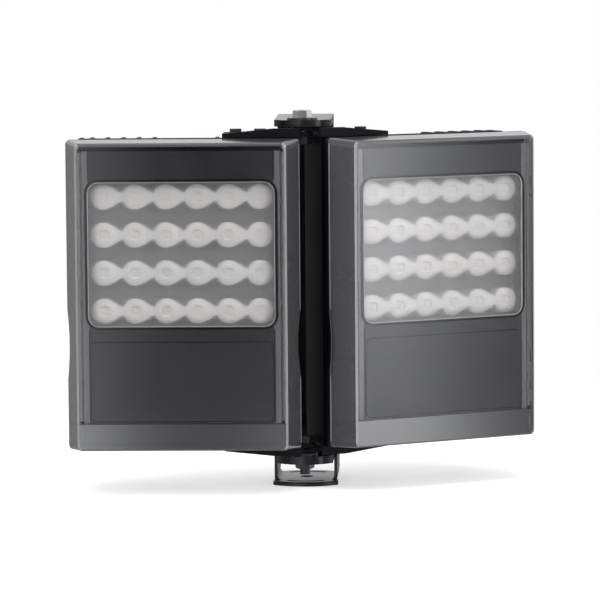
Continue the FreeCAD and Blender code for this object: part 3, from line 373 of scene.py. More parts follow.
def coat_material(name, colour, grain_scale, depth, low, high, tone=0.35, gloss=0.5):
    material, tree, shader = new_material(name)
    if tree:
        shader.inputs["Specular IOR Level"].default_value = gloss
        skin = place_group(tree, coat_group(), Colour=(*colour, 1), Grain_Scale=grain_scale,
                           Tone=tone, Low_Roughness=low, High_Roughness=high)
        link(tree, skin, "Colour", shader, "Base Color")
        link(tree, skin, "Roughness", shader, "Roughness")
        add_bump(tree, shader, skin, "Height", depth)
    return material


def metal_material(name, colour, scale, roughness, depth=0.00002):
    material, tree, shader = new_material(name)
    if tree:
        shader.inputs["Metallic"].default_value = 1
        marks = place_group(tree, scuff_group(), Colour=(*colour, 1), Scale=scale, Roughness=roughness)
        link(tree, marks, "Colour", shader, "Base Color")
        link(tree, marks, "Roughness", shader, "Roughness")
        add_bump(tree, shader, marks, "Height", depth)
    return material


def glass_material(name, colour, roughness, lamp_colour, index=1.5, clearness=1.0, mirror=1.0):
    """Clear or smoked moulding. Rays towards the lamps go straight through it, so that they light
    what is behind."""
    material, tree, shader = new_material(name)
    if tree:
        shader.inputs["Base Color"].default_value = (*colour, 1)
        shader.inputs["Transmission Weight"].default_value = clearness
        shader.inputs["IOR"].default_value = index
        shader.inputs["Specular Tint"].default_value = (mirror, mirror, mirror, 1)
        place = add_node(tree, "ShaderNodeTexCoord")
        haze = add_node(tree, "ShaderNodeTexNoise")
        haze.inputs["Scale"].default_value = 30
        link(tree, place, "Object", haze, "Vector")
        shine = span(tree, haze, "Fac", 0.3, 0.7, roughness * 0.8, roughness * 1.2)
        link(tree, shine, "Result", shader, "Roughness")
        clear = add_node(tree, "ShaderNodeBsdfTransparent")
        clear.inputs["Color"].default_value = (*lamp_colour, 1)
        path = add_node(tree, "ShaderNodeLightPath")
        blend = add_node(tree, "ShaderNodeMixShader")
        link(tree, path, "Is Shadow Ray", blend, "Fac")
        tree.links.new(shader.outputs["BSDF"], blend.inputs[1])
        tree.links.new(clear.outputs["BSDF"], blend.inputs[2])
        link(tree, blend, "Shader", tree.nodes["Material Output"], "Surface")
    return material


# Mesh helpers
def paint(node, material):
    """Gives a carried-over CAD node its finish."""
    mesh = NODES[node].data
    mesh.materials.clear()
    mesh.materials.append(material)


def new_piece(name, mesh, body, slot, material, *replaced):
    """Puts a finished mesh on its body, in the row frame."""
    piece = bpy.data.objects.new(name, mesh)
    bpy.context.scene.collection.objects.link(piece)
    mesh.materials.clear()
    mesh.materials.append(material)
    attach(piece, body)
    if replaced:
        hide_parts(*replaced)
    return piece


def add_turned(builder, profile, matrix, turns=40, inner=0):
    """Revolves a profile of (radius, depth) pairs round the depth axis. The first bands, as many
    as inner says, take the second material."""
    rings = []
    for radius, depth in profile:
        if radius == 0:
            rings.append([builder.verts.new(matrix @ Vector((0, depth, 0)))] * turns)
            continue
        ring = []
        for step in range(turns):
            angle = 2 * math.pi * step / turns
            point = Vector((radius * math.cos(angle), depth, radius * math.sin(angle)))
            ring.append(builder.verts.new(matrix @ point))
        rings.append(ring)
    for band, (near_ring, far_ring) in enumerate(zip(rings, rings[1:])):
        for step in range(turns):
            following = (step + 1) % turns
            corners = [near_ring[step], near_ring[following], far_ring[following], far_ring[step]]
            kept = [corner for index, corner in enumerate(corners) if corner not in corners[:index]]
            builder.faces.new(kept).material_index = 1 if band < inner else 0


def rounded_outline(half, low, high, corner, steps=10):
    """Round a rounded rectangle: (across, height, outward across, outward height)."""
    points = []
    for side, rise, start in ((1, 1, 0), (-1, 1, 90), (-1, -1, 180), (1, -1, 270)):
        centre = (high - corner) if rise > 0 else (low + corner)
        for step in range(steps + 1):
            angle = math.radians(start + 90 * step / steps)
            out, up = math.cos(angle), math.sin(angle)
            points.append((side * (half - corner) + corner * out, centre + corner * up, out, up))
    return points


def add_ring(builder, outline, profile, matrix):
    """Sweeps a closed profile of (outward, depth) pairs round an outline."""
    rings = []
    for across, height, out, up in outline:
        points = [(across + reach * out, depth, height + reach * up) for reach, depth in profile]
        rings.append([builder.verts.new(matrix @ Vector(point)) for point in points])
    for one, two in zip(rings, rings[1:] + rings[:1]):
        for index in range(len(profile)):
            following = (index + 1) % len(profile)
            builder.faces.new((one[index], one[following], two[following], two[index]))


def add_plate(builder, points, front, back, matrix):
    """A flat plate of the outline that the (across, height) points give, in order."""
    sheets = [[builder.verts.new(matrix @ Vector((across, depth, height))) for across, height in points]
              for depth in (front, back)]
    for sheet in sheets:
        builder.faces.new(sheet)
    for index in range(len(points)):
        following = (index + 1) % len(points)
        builder.faces.new((sheets[0][index], sheets[0][following],
                           sheets[1][following], sheets[1][index]))


def finish_mesh(builder, name, smooth_angle=35):
    bmesh.ops.recalc_face_normals(builder, faces=builder.faces)
    mesh = bpy.data.meshes.new(name)
    builder.to_mesh(mesh)
    builder.free()
    mesh.shade_smooth()
    mesh.set_sharp_from_angle(angle=math.radians(smooth_angle))
    return mesh


# Operators, one for each group of like pieces
class ILLUMINATOR_OT_castings(bpy.types.Operator):
    """Coats the housings, wings and yoke"""
    bl_idname = "illuminator.castings"
    bl_label = "Castings"

    def execute(self, context):
        coats = context.scene.illuminator_coats
        casting = coat_material("Black powder coat", coats.casting, 1 / coats.grain, 0.00006, 0.42, 0.56,
                                gloss=0.15)
        for side in SIDES:
            for name in ("housing", "top_wing", "bottom_wing"):
                paint(side + "_" + name, casting)
        paint("yoke", coat_material("Glossy casting coat", coats.casting, 1 / coats.grain, 0.00003,
                                    0.16, 0.26, gloss=0.45))
        return {"FINISHED"}


class ILLUMINATOR_OT_bracket(bpy.types.Operator):
    """Coats the bent sheet bracket"""
    bl_idname = "illuminator.bracket"
    bl_label = "Slotted bracket"

    def execute(self, context):
        coats = context.scene.illuminator_coats
        paint("u_bracket", coat_material("Black sheet coat", coats.sheet, 0.8 / coats.grain, 0.00003,
                                         0.22, 0.34))
        return {"FINISHED"}


def share_bezel(side, rail):
    """Gives the bezel's lowered side rails and its snap tabs a paler colour, painted light that stands
    for the bright line along the bezel's sides.
    """
    bezel = NODES[side + "_bezel"]
    to_panel = panel_matrix(side).inverted() @ bezel.matrix_world
    turn = to_panel.to_3x3()
    low = panel_box("bezel")[0]
    bezel.data.materials.append(rail)
    for face in bezel.data.polygons:
        place = to_panel @ face.center
        front = (turn @ face.normal).normalized().y < -0.9
        lowered = RAIL_DEPTH * 0.9 < place.y - low.y < RAIL_DEPTH * 1.8 and abs(place.x) > BLANK_HALF
        face.material_index = 1 if front and lowered else 0


class ILLUMINATOR_OT_mouldings(bpy.types.Operator):
    """Finishes the bezels, seals, glands and the thrust washer"""
    bl_idname = "illuminator.mouldings"
    bl_label = "Black mouldings"

    def execute(self, context):
        coats = context.scene.illuminator_coats
        moulding = coat_material("Black moulding", coats.moulding, 1.6 / coats.grain, 0.00004,
                                 0.17, 0.26, gloss=0.5)
        # Painted light on the bezel's lowered side rails.
        rail = coat_material("Bezel rail painted light", coats.rail, 1.6 / coats.grain, 0.00003, 0.3, 0.42)
        rubber = coat_material("Seal rubber", (0.22, 0.22, 0.225), 600, 0.00002, 0.6, 0.75)
        gland = coat_material("Gland plastic", (0.014, 0.014, 0.015), 900, 0.00002, 0.3, 0.42)
        for side in SIDES:
            paint(side + "_bezel", moulding)
            share_bezel(side, rail)
            paint(side + "_window_seal", rubber)
            paint(side + "_cable_gland", gland)
            paint(side + "_gland_nut", gland)
        paint("thrust_washer", gland)
        return {"FINISHED"}


def share_shell(side, name, wall_painted_light, bright, inner, top):
    """Gives a shell's tapered walls, their insides and the bevel round its front their painted light: a
    grey haze on the walls, pale insides, a painted highlight on the side bevels and a dimmer one,
    painted shade, on the top and bottom bevels.
    """
    cover = NODES[side + "_" + name]
    to_panel = panel_matrix(side).inverted() @ cover.matrix_world
    turn = to_panel.to_3x3()
    for finish in (wall_painted_light, bright, inner, top):
        cover.data.materials.append(finish)
    for face in cover.data.polygons:
        normal = (turn @ face.normal).normalized()
        inward = normal.x * (to_panel @ face.center).x < 0 and abs(normal.x) > 0.5
        facing = abs(normal.y)
        bevel = 4 if abs(normal.z) > 0.5 else 2
        # Front faces keep the smoked window; the others take the painted light, highlight and shade.
        face.material_index = 0 if facing > 0.95 else bevel if facing > 0.5 else 3 if inward else 1


# Index of refraction of the shells, and the share of the edges' painted highlight that the top and
# bottom edges keep, a painted shade that makes them darker than the side edges.
SHELL_INDEX = 1.58
TOP_EDGE_HIGHLIGHT_SHARE = 0.32


class ILLUMINATOR_OT_windows(bpy.types.Operator):
    """Makes the covers and end caps smoked and glossy"""
    bl_idname = "illuminator.windows"
    bl_label = "Smoked windows"

    def execute(self, context):
        window = context.scene.illuminator_window
        lamp_smoke = [math.sqrt(part) for part in window.smoke]
        smoked = glass_material("Smoked window", window.smoke, window.polish, lamp_smoke, SHELL_INDEX,
                                mirror=0.55)
        # Painted light on the side walls: a grey haze in place of the lit inside seen through them.
        wall_painted_light = glass_material("Smoked side wall painted light", window.wall, 0.12, lamp_smoke, SHELL_INDEX, 0.6)
        # Painted highlight on the side bevels round the shell's front.
        bright = glass_material("Smoked edge painted highlight", window.edge, 0.2, lamp_smoke, SHELL_INDEX, 0.35)
        # The top and bottom bevels get a dimmer copy of the painted highlight: painted shade.
        top_edge_highlight = [part * TOP_EDGE_HIGHLIGHT_SHARE for part in window.edge]
        top = glass_material("Smoked top edge painted highlight", top_edge_highlight, 0.2, lamp_smoke, SHELL_INDEX, 0.35)
        # Painted light on the inner walls.
        inner = glass_material("Smoked inner wall painted light", window.inner, 0.3, lamp_smoke, SHELL_INDEX, 0.3)
        material, tree, shader = new_material("Smoked cap")
        if tree:
            skin = place_group(tree, coat_group(), Colour=(*window.cap_smoke, 1), Grain_Scale=60,
                               Tone=0.5, Low_Roughness=0.06, High_Roughness=0.1)
            link(tree, skin, "Colour", shader, "Base Color")
            link(tree, skin, "Roughness", shader, "Roughness")
            shader.inputs["Specular IOR Level"].default_value = 1
            shader.inputs["Coat Weight"].default_value = 1
            shader.inputs["Coat Roughness"].default_value = 0.05
            shader.inputs["Coat IOR"].default_value = 1.9
        for side in SIDES:
            paint(side + "_cover", smoked)
            paint(side + "_end_cap", material)
            share_shell(side, "cover", wall_painted_light, bright, inner, top)
            share_shell(side, "end_cap", wall_painted_light, bright, inner, top)
        return {"FINISHED"}


class ILLUMINATOR_OT_lens_sheets(bpy.types.Operator):
    """Builds the clear sheets with fine upright ribs that stand for the plain CAD sheets"""
    bl_idname = "illuminator.lens_sheets"
    bl_label = "Ribbed lens sheets"

    def execute(self, context):
        window = context.scene.illuminator_window
        clear = glass_material("Clear ribbed sheet", (0.95, 0.95, 0.955), 0.05, (0.95, 0.95, 0.955), 1.5,
                               clearness=0.95, mirror=0.4)
        low, high = panel_box("lens_sheet")
        corner = SHEET_CORNER
        half = (high.x - low.x) / 2
        count = int(2 * half / window.rib_pitch)
        steps = 8  # columns of points in a rib
        for side in SIDES:
            builder = bmesh.new()
            matrix = panel_matrix(side)
            columns = []
            for index in range(count * steps + 1):
                across = -half + 2 * half * index / (count * steps)
                inset = max(0.0, abs(across) - (half - corner))
                rise = corner - math.sqrt(max(corner ** 2 - inset ** 2, 0))
                phase = (index % steps) / steps * 2 - 1
                slope = max(0.0, abs(phase) - window.rib_land) / (1 - window.rib_land)
                front = low.y + window.rib_depth * slope ** 2
                column = []
                for depth, height in ((front, low.z + rise), (front, high.z - rise),
                                      (high.y, high.z - rise), (high.y, low.z + rise)):
                    column.append(builder.verts.new(matrix @ Vector((across, depth, height))))
                columns.append(column)
            for one, two in zip(columns, columns[1:]):
                for edge in range(4):
                    following = (edge + 1) % 4
                    builder.faces.new((one[edge], one[following], two[following], two[edge]))
            builder.faces.new(columns[0])
            builder.faces.new(columns[-1])
            mesh = finish_mesh(builder, side + "_ribbed_sheet", 30)
            new_piece(side + "_ribbed_sheet", mesh, side + "_panel", "diffuser", clear,
                      side + "_lens_sheet")
        return {"FINISHED"}


# Width of the step round a lens's eye, depths of its rim's two edges behind the dome, and radius
# of its foot.
EYE_STEP = 0.8 * MM
RIM_FRONT, RIM_BACK = 0.8 * MM, 0.9 * MM
LENS_FOOT = 4.4 * MM


class ILLUMINATOR_OT_lenses(bpy.types.Operator):
    """Builds the domed collimator lenses that stand for the plain CAD cones"""
    bl_idname = "illuminator.lenses"
    bl_label = "Collimator lenses"

    def execute(self, context):
        lens = context.scene.illuminator_lenses
        material, tree, shader = new_material("Moulded lens")
        if tree:
            skin = place_group(tree, coat_group(), Colour=(*lens.tone, 1), Grain_Scale=300, Tone=0.05,
                               Low_Roughness=0.2, High_Roughness=0.3)
            link(tree, skin, "Colour", shader, "Base Color")
            link(tree, skin, "Roughness", shader, "Roughness")
            shader.inputs["Coat Weight"].default_value = 0.5
        eye = coat_material("Lens eye", lens.eye_tone, 300, 0.00001, 0.15, 0.25, 0.05)
        low, high = panel_box("lenses")
        radius = lens.diameter / 2
        pitch = (high.x - low.x - lens.diameter) / (LENS_COLUMNS - 1)
        pitch_up = (high.z - low.z - lens.diameter) / (LENS_ROWS - 1)
        front, back = low.y, high.y
        profile = [(0, front + 0.4 * lens.dome)]
        for share in (0.35, 0.7, 1.0):
            profile.append((lens.eye * share, front + lens.dome * (0.4 + 0.5 * share ** 2)))
        for step in range(7):
            share = step / 6
            reach = lens.eye + EYE_STEP + (radius - lens.eye - EYE_STEP) * share
            profile.append((reach, front + lens.dome * (share ** 2.4)))
        profile += [(radius, front + lens.dome + RIM_FRONT),
                    (radius * 0.94, front + lens.dome + RIM_BACK)]
        for step in range(1, 6):
            share = step / 5
            profile.append((radius * 0.94 + (LENS_FOOT - radius * 0.94) * share ** 1.4,
                            front + lens.dome + RIM_BACK
                            + (back - front - lens.dome - RIM_BACK) * share))
        profile.append((0, back))
        neck = [(across * MM, height * MM) for across, height in NECK]
        neck += [(across, -height) for across, height in reversed(neck)]
        for side in SIDES:
            builder = bmesh.new()
            matrix = panel_matrix(side)
            for row in range(LENS_ROWS):
                for column in range(LENS_COLUMNS):
                    centre = Vector((low.x + radius + pitch * column, 0,
                                     low.z + radius + pitch_up * row))
                    here = matrix @ Matrix.Translation(centre)
                    add_turned(builder, profile, here, 32, 2)
                    if column < LENS_COLUMNS - 1:
                        add_plate(builder, neck, front + 0.8 * lens.dome, front + 1.4 * lens.dome, here)
            mesh = finish_mesh(builder, side + "_lens_set", 40)
            new_piece(side + "_lens_set", mesh, side + "_panel", "lens_clear", material,
                      side + "_lenses")
            mesh.materials.append(eye)
        return {"FINISHED"}


# Section of the rim along the shell's foot: (inward from the shell's widest place, depth).
SHELL_RIM = ((0.7 * MM, 25.6 * MM), (0.5 * MM, 24.3 * MM), (0.1 * MM, 24.5 * MM), (0.02 * MM, 25.6 * MM))
# The finger scoop that the shell's foot follows: its centre's height, radius, depth and half length.
SCOOP_HEIGHT, SCOOP_RADIUS = 82 * MM, 185 * MM
SCOOP_DEPTH, SCOOP_HALF = 2 * MM, 60 * MM


def add_rim(builder, across, matrix):
    """The polished rim along one side of the shell's foot, which follows the finger scoop."""
    low, high = panel_box("cover")
    rows = []
    for step in range(61):
        height = 5 * MM + (high.z - 9 * MM) * step / 60
        beside = min(abs(height - SCOOP_HEIGHT), SCOOP_HALF)
        drop = SCOOP_RADIUS - math.sqrt(SCOOP_RADIUS ** 2 - beside ** 2)
        widest = high.x - max(0.0, SCOOP_DEPTH - drop)
        rows.append([builder.verts.new(matrix @ Vector((across * (widest - inward), depth, height)))
                     for inward, depth in SHELL_RIM])
    for one, two in zip(rows, rows[1:]):
        for index in range(len(SHELL_RIM)):
            following = (index + 1) % len(SHELL_RIM)
            builder.faces.new((one[index], one[following], two[following], two[index]))
    builder.faces.new(rows[0])
    builder.faces.new(rows[-1])


# The black lines of painted shade along the bezel's rails, from the middle of the bezel, and the width
# of the black ring of painted shade round the window.
RAIL_SHADE_LINE = (70.85 * MM, 71.6 * MM)
GROOVE_SHADE_WIDTH = 2 * MM
# Pale strips of painted light in the shaded gap beside the bezel: (near, far, depth), how far they stay
# inside the bezel's foot and head, and their thickness.
GAP_LIGHT_STRIPS = ((76.3 * MM, 77.6 * MM, 8.6 * MM), (77.6 * MM, 80.2 * MM, 7.4 * MM))
GUIDE_FOOT, GUIDE_HEAD, GUIDE_THICK = 1.5 * MM, 1 * MM, 2 * MM


class ILLUMINATOR_OT_seams(bpy.types.Operator):
    """Builds black lines of painted shade in the bezel's grooves, the window's lip with a pale painted
    highlight and the pale strips of painted light along the shell's foot
    """
    bl_idname = "illuminator.seams"
    bl_label = "Bezel painted shade and light"

    def execute(self, context):
        # Black lines of painted shade: the grooves round the window and the blank field, and along the
        # rails.
        black = coat_material("Black painted shade", (0.002, 0.002, 0.002), 900, 0.00001, 0.8, 0.9, gloss=0.05)
        # A painted highlight on the rim along the shell's foot and painted light on the strips in the
        # gap beside the bezel.
        strip = coat_material("Edge strip painted light", (0.18, 0.18, 0.185), 900, 0.00001, 0.3, 0.4)
        # Pale painted highlight on the lip round the window.
        pale = coat_material("Window lip painted highlight", (0.3, 0.3, 0.305), 900, 0.00001, 0.3, 0.4)
        sheet_low, sheet_high = panel_box("lens_sheet")
        bezel_low, bezel_high = panel_box("bezel")
        face = bezel_low.y + BLANK_RISE
        gap = 0.3 * MM
        window = rounded_outline(sheet_high.x + gap, sheet_low.z - gap, sheet_high.z + gap,
                                 WINDOW_CORNER)
        blank = rounded_outline(BLANK_HALF, bezel_low.z + BLANK_FOOT, bezel_low.z + BLANK_HEAD,
                                BLANK_CORNER)
        rail = face + 1 * MM
        gasket = ((0, rail), (0, face), (0.2 * MM, face - 0.2 * MM), (1.8 * MM, face - 0.2 * MM),
                  (GROOVE_SHADE_WIDTH, face), (GROOVE_SHADE_WIDTH, rail))
        lip = ((-0.7 * MM, sheet_low.y), (-0.6 * MM, face - 0.1 * MM), (-0.1 * MM, face - 0.1 * MM),
               (0, sheet_low.y))
        line = ((0.05 * MM, face), (0.05 * MM, face - 0.1 * MM), (0.75 * MM, face - 0.1 * MM),
                (0.75 * MM, face))
        spans = ((bezel_low.z + 0.4 * MM, sheet_low.z - gap - GROOVE_SHADE_WIDTH),
                 (sheet_high.z + gap + GROOVE_SHADE_WIDTH, bezel_high.z - 0.4 * MM))
        for side in SIDES:
            matrix = panel_matrix(side)
            builder = bmesh.new()
            add_ring(builder, window, gasket, matrix)
            add_ring(builder, blank, line, matrix)
            for across in (-1, 1):
                for low, high in spans:
                    near, far = (edge * across for edge in RAIL_SHADE_LINE)
                    add_plate(builder, ((near, low), (far, low), (far, high), (near, high)),
                              rail - 0.1 * MM, rail + 0.05 * MM, matrix)
            new_piece(side + "_bezel_painted_shade", finish_mesh(builder, side + "_bezel_painted_shade"),
                      side + "_panel", "black_plastic", black)
            builder = bmesh.new()
            add_ring(builder, window, lip, matrix)
            new_piece(side + "_window_lip", finish_mesh(builder, side + "_window_lip"),
                      side + "_panel", "black_plastic", pale)
            builder = bmesh.new()
            for across in (-1, 1):
                add_rim(builder, across, matrix)
                for near, far, front in GAP_LIGHT_STRIPS:
                    foot, head = bezel_low.z + GUIDE_FOOT, bezel_high.z - GUIDE_HEAD
                    corners = ((near, foot), (far, foot), (far, head), (near, head))
                    add_plate(builder, [(across * aside, height) for aside, height in corners],
                              front, front + GUIDE_THICK, matrix)
            new_piece(side + "_painted_light_strips", finish_mesh(builder, side + "_painted_light_strips"),
                      side + "_panel", "smoked_window", strip)
        return {"FINISHED"}


class ILLUMINATOR_OT_insides(bpy.types.Operator):
    """Finishes the boards, LEDs, heat spreaders and standoffs inside the panels"""
    bl_idname = "illuminator.insides"
    bl_label = "Inner parts"

    def execute(self, context):
        # The white LED board is coloured grey: painted shade of the board lying deep behind the lenses.
        board = coat_material("LED board painted shade", (0.17, 0.17, 0.173), 400, 0.00001, 0.3, 0.4, 0.05)
        package = coat_material("LED package", (0.55, 0.5, 0.36), 900, 0.00001, 0.3, 0.4, 0.1)
        green = coat_material("Green solder mask", (0.02, 0.1, 0.045), 300, 0.00002, 0.3, 0.45)
        aluminium = metal_material("Milled aluminium", (0.7, 0.7, 0.72), 300, 0.35)
        brass = metal_material("Brass", (0.66, 0.46, 0.18), 400, 0.3)
        for side in SIDES:
            paint(side + "_led_board", board)
            paint(side + "_leds", package)
            paint(side + "_driver_board", green)
            paint(side + "_heat_spreader", aluminium)
            paint(side + "_standoffs", brass)
        return {"FINISHED"}


class ILLUMINATOR_OT_hardware(bpy.types.Operator):
    """Finishes the bolts, nuts, washers and screws"""
    bl_idname = "illuminator.hardware"
    bl_label = "Hardware"

    def execute(self, context):
        coats = context.scene.illuminator_coats
        stainless = metal_material("Stainless", coats.steel, 260, 0.14, 0.000006)
        black = coat_material("Black plating", (0.018, 0.018, 0.02), 1200, 0.00001, 0.24, 0.34)
        for name in ("top_pivot_bolt", "tilt_bolts", "tilt_washers"):
            paint(name, stainless)
        for name in ("top_washer", "top_nut", "bottom_pivot_bolt", "bottom_nut"):
            paint(name, black)
        for side in SIDES:
            paint(side + "_board_screws", stainless)
            paint(side + "_cap_screws", stainless)
            paint(side + "_wing_screws", black)
        return {"FINISHED"}


# Camera, floor and light
def make_camera(stage):
    data = bpy.data.cameras.new("View")
    data.lens = stage.lens
    data.shift_x, data.shift_y = stage.shift
    data.clip_start, data.clip_end = 0.1, 60
    camera = bpy.data.objects.new("View", data)
    bpy.context.scene.collection.objects.link(camera)
    away = Vector((math.sin(stage.azimuth) * math.cos(stage.elevation),
                   -math.cos(stage.azimuth) * math.cos(stage.elevation), math.sin(stage.elevation)))
    camera.location = Vector(stage.aim) + away * stage.distance
    look = (-away).to_track_quat("-Z", "Y").to_matrix().to_4x4()
    camera.rotation_euler = (look @ Matrix.Rotation(stage.roll, 4, "Z")).to_euler()
    bpy.context.scene.camera = camera


def make_floor(stage):
    """A round patch of pale floor under the object that fades into the white."""
    builder = bmesh.new()
    bmesh.ops.create_circle(builder, cap_ends=True, segments=96, radius=stage.floor_radius)
    mesh = bpy.data.meshes.new("floor")
    builder.to_mesh(mesh)
    builder.free()
    floor = bpy.data.objects.new("floor", mesh)
    floor.location.z = CAD_LOW.z
    bpy.context.scene.collection.objects.link(floor)
    material, tree, shader = new_material("Pale floor")
    shader.inputs["Base Color"].default_value = (*stage.floor_colour, 1)
    shader.inputs["Roughness"].default_value = 0.9
    shader.inputs["Specular IOR Level"].default_value = 0
    shader.inputs["Emission Color"].default_value = (1, 1, 1, 1)
    path = add_node(tree, "ShaderNodeLightPath")
    level = span(tree, path, "Is Camera Ray", 0, 1, 0, stage.floor_lift)
    link(tree, level, "Result", shader, "Emission Strength")
    place = add_node(tree, "ShaderNodeTexCoord")
    reach = add_node(tree, "ShaderNodeVectorMath", operation="LENGTH")
    link(tree, place, "Object", reach, "Vector")
    fade = span(tree, reach, "Value", stage.floor_radius * 0.45, stage.floor_radius, 1, 0)
    fade.interpolation_type = "SMOOTHSTEP"
    link(tree, fade, "Result", shader, "Alpha")
    mesh.materials.append(material)
    floor.visible_glossy = False


# How bright the room in front looks from left to right: (the direction's X, tone).
ROOM_TONES = ((-1.0, 0.08), (-0.9, 0.12), (-0.3, 1.1), (-0.104, 1.5), (-0.0925, 0.85),
              (-0.085, 0.2), (-0.076, 0.05), (-0.069, 0.0), (-0.061, 0.0), (-0.054, 0.12),
              (-0.048, 0.4), (0.0, 0.3), (0.2, 0.2), (0.7, 0.6), (0.86, 4.4), (0.877, 4.2),
              (0.8792, 2.9), (0.883, 1.5), (0.887, 0.8), (0.893, 0.35), (1.0, 0.2))
# The same for the room behind.
BACK_TONES = ((-1.0, 0.5), (-0.6, 0.42), (-0.3, 0.55), (-0.1, 0.6), (-0.055, 0.6), (-0.047, 0.9),
              (-0.036, 0.8), (-0.03, 0.25), (0.0, 0.08), (0.06, 0.08), (0.2, 0.5), (0.5, 1.1),
              (0.8, 1.3), (1.0, 0.9))
# The largest tone that the tables may hold.
BRIGHTEST = 4.5


def tone_curve(tree, source, tones):
    """Reads a table of (the direction's X, tone) at the direction that source gives."""
    across = span(tree, source, "X", -1, 1, 0, 1)
    curve = add_node(tree, "ShaderNodeFloatCurve")
    link(tree, across, "Result", curve, "Value")
    points = curve.mapping.curves[0].points
    spots = [((side + 1) / 2, tone / BRIGHTEST) for side, tone in tones]
    points[0].location, points[1].location = spots[0], spots[-1]
    for spot in spots[1:-1]:
        points.new(*spot)
    for point in points:
        point.handle_type = "VECTOR"
    curve.mapping.update()
    return span(tree, curve, "Value", 0, 1, 0, BRIGHTEST)


def make_room(stage):
    """White for the view, an even light for matt surfaces, and for gloss and glass a studio with
    soft fields whose tones change from left to right."""
    world = bpy.data.worlds.new("Room")
    bpy.context.scene.world = world
    world.use_nodes = True
    tree = world.node_tree
    background = tree.nodes["Background"]
    path = add_node(tree, "ShaderNodeLightPath")
    place = add_node(tree, "ShaderNodeTexCoord")
    split = add_node(tree, "ShaderNodeSeparateXYZ")
    link(tree, place, "Generated", split, "Vector")
    fields = tone_curve(tree, split, ROOM_TONES)
    # Low down the left part of the room is lighter, and the right part is dimmer.
    low = span(tree, split, "Z", -0.06, -0.13, 0, stage.low_tone)
    left_only = span(tree, split, "X", 0.3, 0.5, 1, 0)
    lower = add_node(tree, "ShaderNodeMath", operation="MULTIPLY")
    link(tree, low, "Result", lower, 0)
    link(tree, left_only, "Result", lower, 1)
    dim = span(tree, split, "Z", -0.05, -0.125, 1, stage.low_dim)
    keep = add_node(tree, "ShaderNodeMix", data_type="FLOAT")
    link(tree, left_only, "Result", keep, "Factor")
    link(tree, dim, "Result", keep, "A")
    keep.inputs["B"].default_value = 1
    upper = add_node(tree, "ShaderNodeMath", operation="MULTIPLY")
    link(tree, fields, "Result", upper, 0)
    link(tree, keep, "Result", upper, 1)
    front = add_node(tree, "ShaderNodeMath", operation="ADD")
    link(tree, upper, "Value", front, 0)
    link(tree, lower, "Value", front, 1)
    # The room behind the object has its own tones, and one even tone high up.
    behind = span(tree, split, "Y", -0.35, 0.25, 0, 1)
    behind.interpolation_type = "SMOOTHSTEP"
    studio = add_node(tree, "ShaderNodeMix", data_type="FLOAT")
    link(tree, behind, "Result", studio, "Factor")
    link(tree, front, "Value", studio, "A")
    high = span(tree, split, "Z", 0.08, 0.13, 0, 1)
    rear = add_node(tree, "ShaderNodeMix", data_type="FLOAT")
    link(tree, high, "Result", rear, "Factor")
    link(tree, tone_curve(tree, split, BACK_TONES), "Result", rear, "A")
    rear.inputs["B"].default_value = stage.back_tone
    link(tree, rear, "Result", studio, "B")
    # Only rays that gloss or glass sends see the studio, and the view itself sees plain white.
    polished = add_node(tree, "ShaderNodeMath", operation="MAXIMUM")
    link(tree, path, "Is Glossy Ray", polished, 0)
    link(tree, path, "Is Transmission Ray", polished, 1)
    lit = add_node(tree, "ShaderNodeMix", data_type="FLOAT")
    lit.inputs["A"].default_value = stage.room_light
    link(tree, polished, "Value", lit, "Factor")
    link(tree, studio, "Result", lit, "B")
    final = add_node(tree, "ShaderNodeMix", data_type="FLOAT")
    link(tree, path, "Is Camera Ray", final, "Factor")
    link(tree, lit, "Result", final, "A")
    final.inputs["B"].default_value = 1
    hue = mix_colours(tree)
    link(tree, path, "Is Camera Ray", hue, "Factor")
    hue.inputs["A"].default_value = (0.955, 0.965, 1, 1)
    hue.inputs["B"].default_value = (1, 1, 1, 1)
    link(tree, hue, "Result", background, "Color")
    link(tree, final, "Result", background, "Strength")


# Soft lamps: (name, place, width, height, power).
LAMPS = (("Top softbox", (0.0, -0.7, 1.8), 1.6, 1.2, 26),
         ("Left softbox", (-1.5, -1.3, 0.9), 0.8, 1.2, 12),
         ("Right softbox", (1.6, -1.5, 0.9), 0.8, 1.2, 14))


def make_lamp(name, place, aim, width, height, power):
    data = bpy.data.lights.new(name, "AREA")
    data.shape = "RECTANGLE"
    data.size, data.size_y = width, height
    data.energy = power
    lamp = bpy.data.objects.new(name, data)
    lamp.location = place
    lamp.rotation_euler = (Vector(aim) - Vector(place)).to_track_quat("-Z", "Y").to_euler()
    lamp.visible_camera = False
    lamp.visible_glossy = False
    bpy.context.scene.collection.objects.link(lamp)


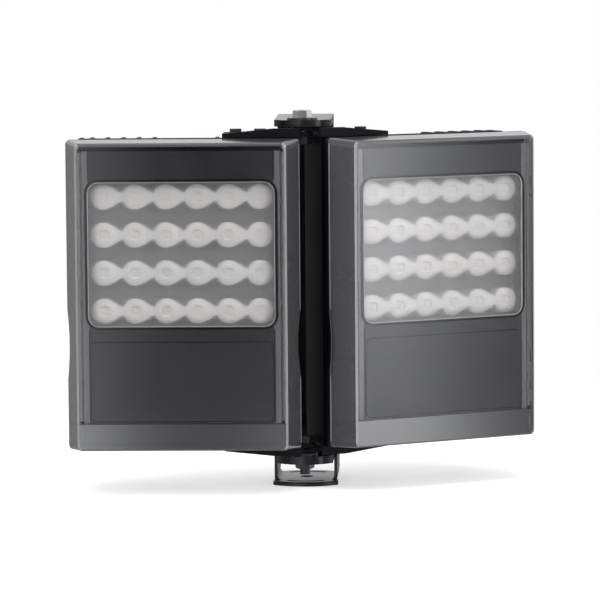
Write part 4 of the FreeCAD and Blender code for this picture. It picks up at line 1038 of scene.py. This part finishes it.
class ILLUMINATOR_OT_stage(bpy.types.Operator):
    """Sets the view, the pale floor, the white room and the soft lamps"""
    bl_idname = "illuminator.stage"
    bl_label = "Stage"

    def execute(self, context):
        stage = context.scene.illuminator_stage
        context.scene.view_settings.view_transform = "Standard"
        make_camera(stage)
        make_floor(stage)
        make_room(stage)
        middle = (CAD_LOW + CAD_HIGH) / 2
        for name, place, width, height, power in LAMPS:
            make_lamp(name, place, middle, width, height, power)
        return {"FINISHED"}


BUILD_ORDER = (
    ILLUMINATOR_OT_castings,
    ILLUMINATOR_OT_bracket,
    ILLUMINATOR_OT_mouldings,
    ILLUMINATOR_OT_windows,
    ILLUMINATOR_OT_lens_sheets,
    ILLUMINATOR_OT_lenses,
    ILLUMINATOR_OT_seams,
    ILLUMINATOR_OT_insides,
    ILLUMINATOR_OT_hardware,
    ILLUMINATOR_OT_stage,
)


class ILLUMINATOR_PT_panel(bpy.types.Panel):
    """Lists the illuminator's operators and settings"""
    bl_label = "Illuminator"
    bl_idname = "ILLUMINATOR_PT_panel"
    bl_space_type = "VIEW_3D"
    bl_region_type = "UI"
    bl_category = "Illuminator"

    def draw(self, context):
        for operator in BUILD_ORDER:
            self.layout.operator(operator.bl_idname)
        for name, group in SETTINGS.items():
            box = self.layout.box()
            for label in group.__annotations__:
                box.prop(getattr(context.scene, name), label)


def register():
    for group in SETTINGS.values():
        bpy.utils.register_class(group)
    for operator in BUILD_ORDER:
        bpy.utils.register_class(operator)
    bpy.utils.register_class(ILLUMINATOR_PT_panel)
    for name, group in SETTINGS.items():
        setattr(bpy.types.Scene, name, bpy.props.PointerProperty(type=group))


def unregister():
    for name in SETTINGS:
        delattr(bpy.types.Scene, name)
    bpy.utils.unregister_class(ILLUMINATOR_PT_panel)
    for operator in reversed(BUILD_ORDER):
        bpy.utils.unregister_class(operator)
    for group in reversed(SETTINGS.values()):
        bpy.utils.unregister_class(group)


def main():
    register()
    for operator in BUILD_ORDER:
        folder, name = operator.bl_idname.split(".")
        getattr(getattr(bpy.ops, folder), name)()


if __name__ == "__main__":
    main()
